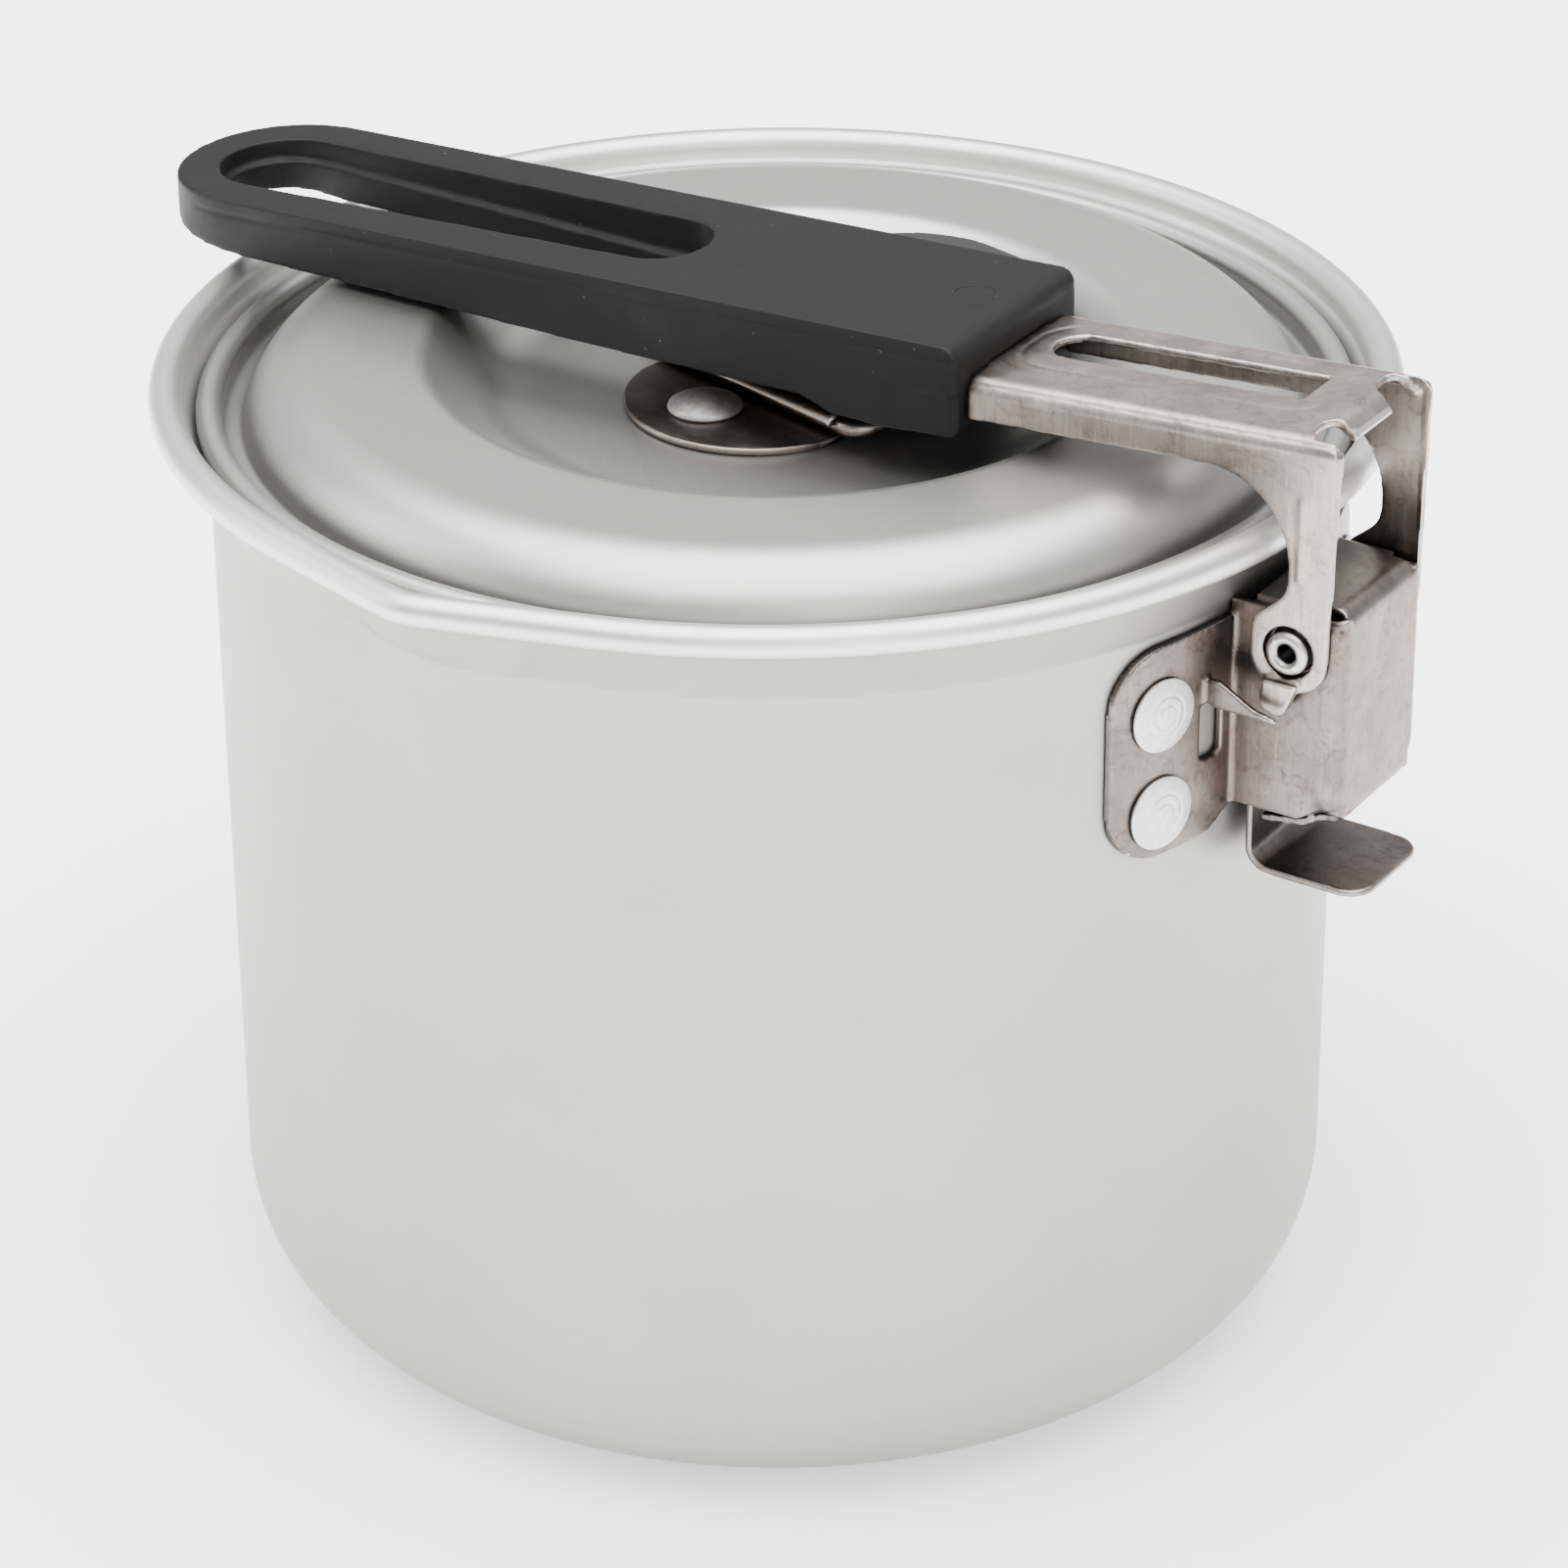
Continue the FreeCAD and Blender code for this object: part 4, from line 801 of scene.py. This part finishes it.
def make_lid_rivet(material):
    tail = LID_FLOOR - LID_RIVET_TAIL_DROP
    under = LID_FLOOR - LID_GAUGE
    points = [(0.0, tail), (LID_RIVET_TAIL - LID_RIVET_TAIL_EDGE, tail)]
    points += [(LID_RIVET_TAIL, tail + LID_RIVET_TAIL_EDGE), (LID_RIVET_TAIL, under)]
    points += [(LID_RIVET_SHANK, under)]
    points += crowned_head(LID_FLOOR + LID_RIVET_SEAT, LID_FLOOR + LID_RIVET_RIM,
                           LID_FLOOR + LID_RIVET_CROWN, LID_RIVET_HEAD, LID_RIVET_SHANK, 0.0)
    rivet = placed(turned("lid_rivet_look", points, RIVET_STEPS), LID_RIVET_PLACE + (0.0,))
    settle(rivet, "lid", "lid_rivet", material)


def knob_plate_section(x):
    """Outline of the knob's plate at a place along its hinge, from the rounded edge to the curl."""
    end = PLATE_CENTRE - math.sqrt(PLATE_RADIUS ** 2 - x ** 2)
    middle = PLATE_REST + PLATE_GAUGE / 2.0
    half = PLATE_GAUGE / 2.0
    loop = [(y, PLATE_REST) for y in np.linspace(0.0, end + half, 8)]
    loop += arc((end + half, middle), half, 270, 90, 9)
    loop += [(y, PLATE_REST + PLATE_GAUGE) for y in np.linspace(end + half, 0.0, 8)[1:-1]]
    loop += arc((0.0, 0.0), CURL_INNER, CURL_START, CURL_END, 22)
    loop += arc((0.0, 0.0), CURL_OUTER, CURL_END, CURL_START, 22)[:-1]
    return [(x, y, z) for y, z in loop[::-1]]


def make_knob_plate(material):
    reach = PLATE_HALF - PLATE_END_GAP
    stations = np.linspace(-reach, reach, PLATE_STATIONS)
    plate = swept("knob_plate_look", [knob_plate_section(x) for x in stations])
    placed(plate, HINGE, (HINGE_TURN, "Z"))
    settle(plate, "lid", "knob_plate", material)


# ---------------------------------------------------------------------------------------------
# Stamped and moulded pieces, kept to their modelled shape with softened edges
# ---------------------------------------------------------------------------------------------


def corner_angle(side, end, radius):
    """Angle round a corner for points at two distances in from the faces that meet there."""
    return math.pi / 4.0 + (side - end) / np.maximum(radius, SMALLEST_ROUND) * math.pi / 4.0


def rounded_corner(side, end, round_radius, amount=1.0):
    """Move points near a square corner so that it becomes round. side and end are distances in
    from the two faces that meet there."""
    corner = (side < round_radius) & (end < round_radius)
    radius = np.maximum(round_radius - np.minimum(side, end), SMALLEST_ROUND)
    angle = corner_angle(side, end, radius)
    new_side = np.where(corner, round_radius - radius * np.cos(angle), side)
    new_end = np.where(corner, round_radius - radius * np.sin(angle), end)
    return side + (new_side - side) * amount, end + (new_end - end) * amount


def bracket_shape(points):
    """Round the four corners of the box's front face."""
    x, y, z = points[:, 0], points[:, 1], points[:, 2]
    amount = smooth_step((x - BOX_FRONT + BOX_ROUND_DEPTH) / BOX_ROUND_FADE)
    side, foot = rounded_corner(BOX_HALF - np.abs(y), z - BOX_FOOT, BOX_FOOT_CORNER, amount)
    side, top = rounded_corner(side, BOX_TOP - foot - BOX_FOOT, BOX_TOP_CORNER, amount)
    return np.stack([x, np.sign(y) * (BOX_HALF - side), BOX_TOP - top], axis=-1)


def make_bracket(material):
    bracket = skin("bracket_look", "bracket", STAMPING_VOXEL, STAMPING_ROUNDS)
    reshape(bracket, bracket_shape)
    settle(bracket, "pot", "bracket", material)


def bend_long_edges(side, down):
    """Round the bends between the frame's top and its sides."""
    corner = (side < FRAME_BEND) & (down < FRAME_BEND)
    radius = FRAME_BEND - np.minimum(side, down)
    angle = corner_angle(side, down, radius)
    new_side = np.where(corner, FRAME_BEND - radius * np.cos(angle), side)
    new_down = np.where(corner, FRAME_BEND - radius * np.sin(angle), down)
    return new_side, new_down


def round_leg_edges(x, side):
    """Round the upright outer edges of the frame's legs."""
    ahead = FRAME_END - x
    edge = (side < LEG_ROUND) & (ahead < LEG_ROUND)
    radius = LEG_ROUND - np.minimum(side, ahead)
    angle = corner_angle(side, ahead, radius)
    new_x = np.where(edge, FRAME_END - LEG_ROUND + radius * np.sin(angle), x)
    new_side = np.where(edge, LEG_ROUND - radius * np.cos(angle), side)
    return new_x, new_side


def leg_rib(x, z, side):
    """How far the upright rib stands out of the outer face of a leg."""
    foot = smooth_step((z - LEG_RIB_FOOT) / LEG_RIB_FADE)
    top = smooth_step((LEG_RIB_TOP - z) / LEG_RIB_FADE)
    rib = LEG_RIB_HEIGHT * np.exp(-((x - LEG_RIB_X) / LEG_RIB_WIDTH) ** 2) * (foot * top)
    return np.where(side < LEG_FACE, rib, 0.0)


def contour_groove(x, y, down):
    """Depth of the line stamped into the frame's top round its slot."""
    reach_x = np.abs(x - CONTOUR_CENTRE[0]) - CONTOUR_HALF[0]
    reach_y = np.abs(y - CONTOUR_CENTRE[1]) - CONTOUR_HALF[1]
    outline = np.hypot(np.maximum(reach_x, 0.0), np.maximum(reach_y, 0.0))
    outline = outline + np.minimum(np.maximum(reach_x, reach_y), 0.0)
    groove = CONTOUR_DEPTH * np.exp(-((outline - CONTOUR_REACH) / CONTOUR_WIDTH) ** 2)
    return np.where(down < CONTOUR_FACE, groove, 0.0)


def frame_shape(points):
    """Round the frame's bends and edges, and emboss its ribs and its contour."""
    x, y, z = points[:, 0], points[:, 1], points[:, 2]
    side, down = bend_long_edges(FRAME_HALF - np.abs(y), plate_top(x) - z)
    z = plate_top(x) - down
    x, side = round_leg_edges(x, side)
    side = side - leg_rib(x, z, side)
    y = np.sign(y) * (FRAME_HALF - side)
    z = z - contour_groove(x, y, down)
    return np.stack([x, y, z], axis=-1)


def make_handle_frame(material):
    handle = skin("handle_frame_look", "handle_frame", STAMPING_VOXEL, STAMPING_ROUNDS)
    reshape(handle, frame_shape)
    settle(handle, "handle", "handle_frame", material)


def make_lock_lever(material):
    lever = skin("lock_lever_look", "lock_lever", STAMPING_VOXEL, STAMPING_ROUNDS)
    settle(lever, "lock_lever", "lock_lever", material)


def grip_shape(points):
    """Cut the fine line under the top edge and step the lower half in at the parting line."""
    x, y, z = points[:, 0], points[:, 1], points[:, 2]
    below_top = GRIP_TOP_END + (x - FRAME_START) * math.tan(math.radians(GRIP_TILT)) - z
    side = smooth_step((np.abs(y) - GRIP_HALF + GRIP_SIDE_DEPTH) / GRIP_SIDE_FADE)
    line_cut = GRIP_LINE_DEPTH * np.exp(-((below_top - GRIP_LINE_DROP) / GRIP_LINE_WIDTH) ** 2)
    near_frame = smooth_step((x - GRIP_STEP_START) / GRIP_STEP_RUN)
    below_parting = smooth_step((below_top - GRIP_STEP_DROP) / GRIP_STEP_SOFTNESS)
    step = GRIP_STEP_DEPTH * below_parting * near_frame
    y = y - np.sign(y) * side * (line_cut + step)
    return np.stack([x, y, z], axis=-1)


def pin_mark_profile():
    """The round witness mark of a mould pin: a flat disc inside a low, soft rim."""
    points = [(0.0, PIN_MARK_FOOT), (PIN_MARK_RADIUS, PIN_MARK_FOOT)]
    points += arc((PIN_MARK_RADIUS - PIN_MARK_RIM, 0.0), PIN_MARK_RIM, 0, 180, 8)
    for radius in (PIN_MARK_RADIUS - PIN_MARK_RIM_RUN, PIN_MARK_MIDDLE, 0.0):
        points.append((radius, PIN_MARK_FACE))
    return points


def make_handle_grip(material):
    grip = skin("handle_grip_look", "handle_grip", GRIP_VOXEL, MOULDING_ROUNDS, GRIP_TILT)
    reshape(grip, grip_shape)
    settle(grip, "handle", "handle_grip", material)
    mark = placed(turned("grip_pin_mark", pin_mark_profile(), TUBE_STEPS), PIN_MARK_PLACE,
                  (-GRIP_TILT, "Y"))
    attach(mark, "handle")
    mark.data.materials.append(material)


def make_knob_grip(material):
    grip = skin("knob_grip_look", "knob_grip", KNOB_VOXEL, MOULDING_ROUNDS)
    settle(grip, "knob", "knob_grip", material)


# ---------------------------------------------------------------------------------------------
# Stage
# ---------------------------------------------------------------------------------------------

CAMERA_AZIMUTH = 33.0
CAMERA_ELEVATION = 28.23
CAMERA_ROLL = -0.54
CAMERA_DISTANCE = 0.733
CAMERA_TARGET = (0.0, 0.0, 0.062)
CAMERA_LENS = 132.87
CAMERA_SENSOR = 36.0
CAMERA_SHIFT = (0.00225, 0.0125)

# The floor glows as a light of its own, which lifts shadows and lights the pot from below. Its glow
# is dimmer close round the pot's foot, a painted shadow.
FLOOR_GLOW = 2.1
FLOOR_GLOW_PAINTED_SHADOW_STOPS = [(0.08, srgb(176, 176, 176)), (0.19, srgb(255, 255, 255))]
FLOOR_TONE_STOPS = [(0.0, srgb(244, 244, 244)), (1.0, srgb(248, 248, 248))]
FLOOR_REACH = 3000.0
WORLD_FRONT = (0.54, -0.84, 0.0)
WORLD_STOPS = [(0.0, (1.0, 1.0, 1.0, 1.0)), (0.45, (0.85, 0.9, 0.97, 1.0)),
               (0.75, (0.72, 0.74, 0.77, 1.0)), (1.0, (0.62, 0.63, 0.65, 1.0))]
WORLD_STRENGTH = 1.08

LAMP_AIM = (0.0, 0.0, 0.07)
LAMPS = [("top_light", (0.06, -0.08, 1.1), (1.4, 1.4), 44.0),
         ("left_light", (-1.0, -0.6, 0.6), (0.7, 0.9), 7.0),
         ("right_light", (0.9, -0.9, 0.5), (0.5, 0.8), 6.0)]


def make_camera():
    azimuth, elevation, roll = (math.radians(a) for a in
                                (CAMERA_AZIMUTH, CAMERA_ELEVATION, CAMERA_ROLL))
    back = Vector((math.sin(azimuth) * math.cos(elevation),
                   -math.cos(azimuth) * math.cos(elevation), math.sin(elevation)))
    right = Vector((math.cos(azimuth), math.sin(azimuth), 0.0))
    up = back.cross(right)
    level = Matrix((right, up, back)).transposed()
    turn = level @ Matrix.Rotation(roll, 3, "Z")
    camera = bpy.data.objects.new("camera", bpy.data.cameras.new("camera"))
    camera.data.lens = CAMERA_LENS
    camera.data.sensor_width = CAMERA_SENSOR
    camera.data.shift_x, camera.data.shift_y = CAMERA_SHIFT
    camera.matrix_world = Matrix.LocRotScale(
        Vector(CAMERA_TARGET) + back * CAMERA_DISTANCE, turn, None)
    bpy.context.scene.collection.objects.link(camera)
    bpy.context.scene.camera = camera


def make_lamp(name, place, size, power):
    """A rectangular lamp that faces the pot. Places and sizes are in metres."""
    lamp = bpy.data.lights.new(name, "AREA")
    lamp.shape = "RECTANGLE"
    lamp.size, lamp.size_y = size
    lamp.energy = power
    obj = bpy.data.objects.new(name, lamp)
    obj.location = place
    obj.rotation_euler = (Vector(LAMP_AIM) - Vector(place)).to_track_quat("-Z", "Y").to_euler()
    bpy.context.scene.collection.objects.link(obj)


def make_floor():
    g = Graph("pale_floor")
    speckle = g.noise(40.0, 2.0)
    tone = g.ramp(speckle, FLOOR_TONE_STOPS)
    spread = g.add("ShaderNodeVectorMath", operation="LENGTH")
    g.link(g.place, spread.inputs[0])
    # Painted shadow: the floor glows less close round the pot's foot.
    glow_with_painted_shadow = g.ramp(spread.outputs["Value"], FLOOR_GLOW_PAINTED_SHADOW_STOPS)
    material = g.use(Base_Color=tone, Roughness=0.8, Emission_Color=glow_with_painted_shadow,
                     Emission_Strength=FLOOR_GLOW)
    corners = [(-FLOOR_REACH, -FLOOR_REACH, 0), (FLOOR_REACH, -FLOOR_REACH, 0),
               (FLOOR_REACH, FLOOR_REACH, 0), (-FLOOR_REACH, FLOOR_REACH, 0)]
    floor = mesh_object("floor", corners, [(0, 1, 2, 3)])
    floor.data.materials.append(material)


def make_world():
    """A studio that is pale behind the pot and darker on the side it is seen from."""
    world = bpy.data.worlds.new("studio")
    world.use_nodes = True
    tree = world.node_tree
    direction = tree.nodes.new("ShaderNodeTexCoord").outputs["Generated"]
    towards = tree.nodes.new("ShaderNodeVectorMath")
    towards.operation = "DOT_PRODUCT"
    towards.inputs[1].default_value = WORLD_FRONT
    tree.links.new(direction, towards.inputs[0])
    spread = tree.nodes.new("ShaderNodeMapRange")
    spread.inputs["From Min"].default_value = -1.0
    tree.links.new(towards.outputs["Value"], spread.inputs["Value"])
    ramp = tree.nodes.new("ShaderNodeValToRGB")
    set_stops(ramp, WORLD_STOPS)
    tree.links.new(spread.outputs["Result"], ramp.inputs["Fac"])
    background = tree.nodes["Background"]
    tree.links.new(ramp.outputs["Color"], background.inputs["Color"])
    background.inputs["Strength"].default_value = WORLD_STRENGTH
    bpy.context.scene.world = world


def make_stage():
    make_floor()
    make_world()
    for name, place, size, power in LAMPS:
        make_lamp(name, place, size, power)


# ---------------------------------------------------------------------------------------------
# Build
# ---------------------------------------------------------------------------------------------

ALUMINIUM = anodised_aluminium("pot_aluminium", srgb(157, 156, 152), srgb(164, 163, 159), 0.44)
LID_ALUMINIUM = anodised_aluminium("lid_aluminium", srgb(184, 183, 180), srgb(192, 191, 188),
                                   0.40, 0.12, 0.0, 0.018)
STEEL = stainless_sheet("stainless_sheet", srgb(140, 129, 121), srgb(168, 157, 149),
                        srgb(190, 179, 171), srgb(104, 86, 70), 0.45)
BRACKET_STEEL = stainless_sheet("bracket_steel", srgb(92, 84, 79), srgb(117, 108, 102),
                                srgb(142, 133, 127), srgb(70, 58, 48), 0.6)
TUBE_STEEL = stainless_sheet("tube_steel", srgb(150, 149, 147), srgb(182, 181, 179),
                             srgb(206, 205, 203), srgb(100, 90, 78), 0.4)
PLATE_STEEL = stainless_sheet("knob_steel", srgb(104, 95, 88), srgb(126, 116, 108),
                              srgb(146, 137, 129), srgb(80, 68, 58), 0.3)
RIVET = rivet_aluminium("rivet_aluminium", srgb(196, 195, 194), srgb(232, 230, 228), 0.8)
DULL_RIVET = rivet_aluminium("dull_rivet", srgb(128, 126, 124), srgb(156, 154, 152), 0.3)
RUBBER = grip_rubber("grip_rubber")
PLASTIC = knob_plastic("knob_plastic")

for node_name, node_object in frame["nodes"].items():
    finish = {"pot_shell": ALUMINIUM, "lid_shell": LID_ALUMINIUM, "handle_grip": RUBBER,
              "knob_grip": PLASTIC}.get(node_name, RIVET if "rivet" in node_name else STEEL)
    node_object.data.materials.clear()
    node_object.data.materials.append(finish)

make_pot(ALUMINIUM)
make_lid(LID_ALUMINIUM)
make_bracket_rivets(RIVET)
make_pivot_tube(TUBE_STEEL)
make_lid_rivet(DULL_RIVET)
make_knob_plate(PLATE_STEEL)
make_bracket(BRACKET_STEEL)
make_handle_frame(STEEL)
make_lock_lever(BRACKET_STEEL)
make_handle_grip(RUBBER)
make_knob_grip(PLASTIC)
make_camera()
make_stage()
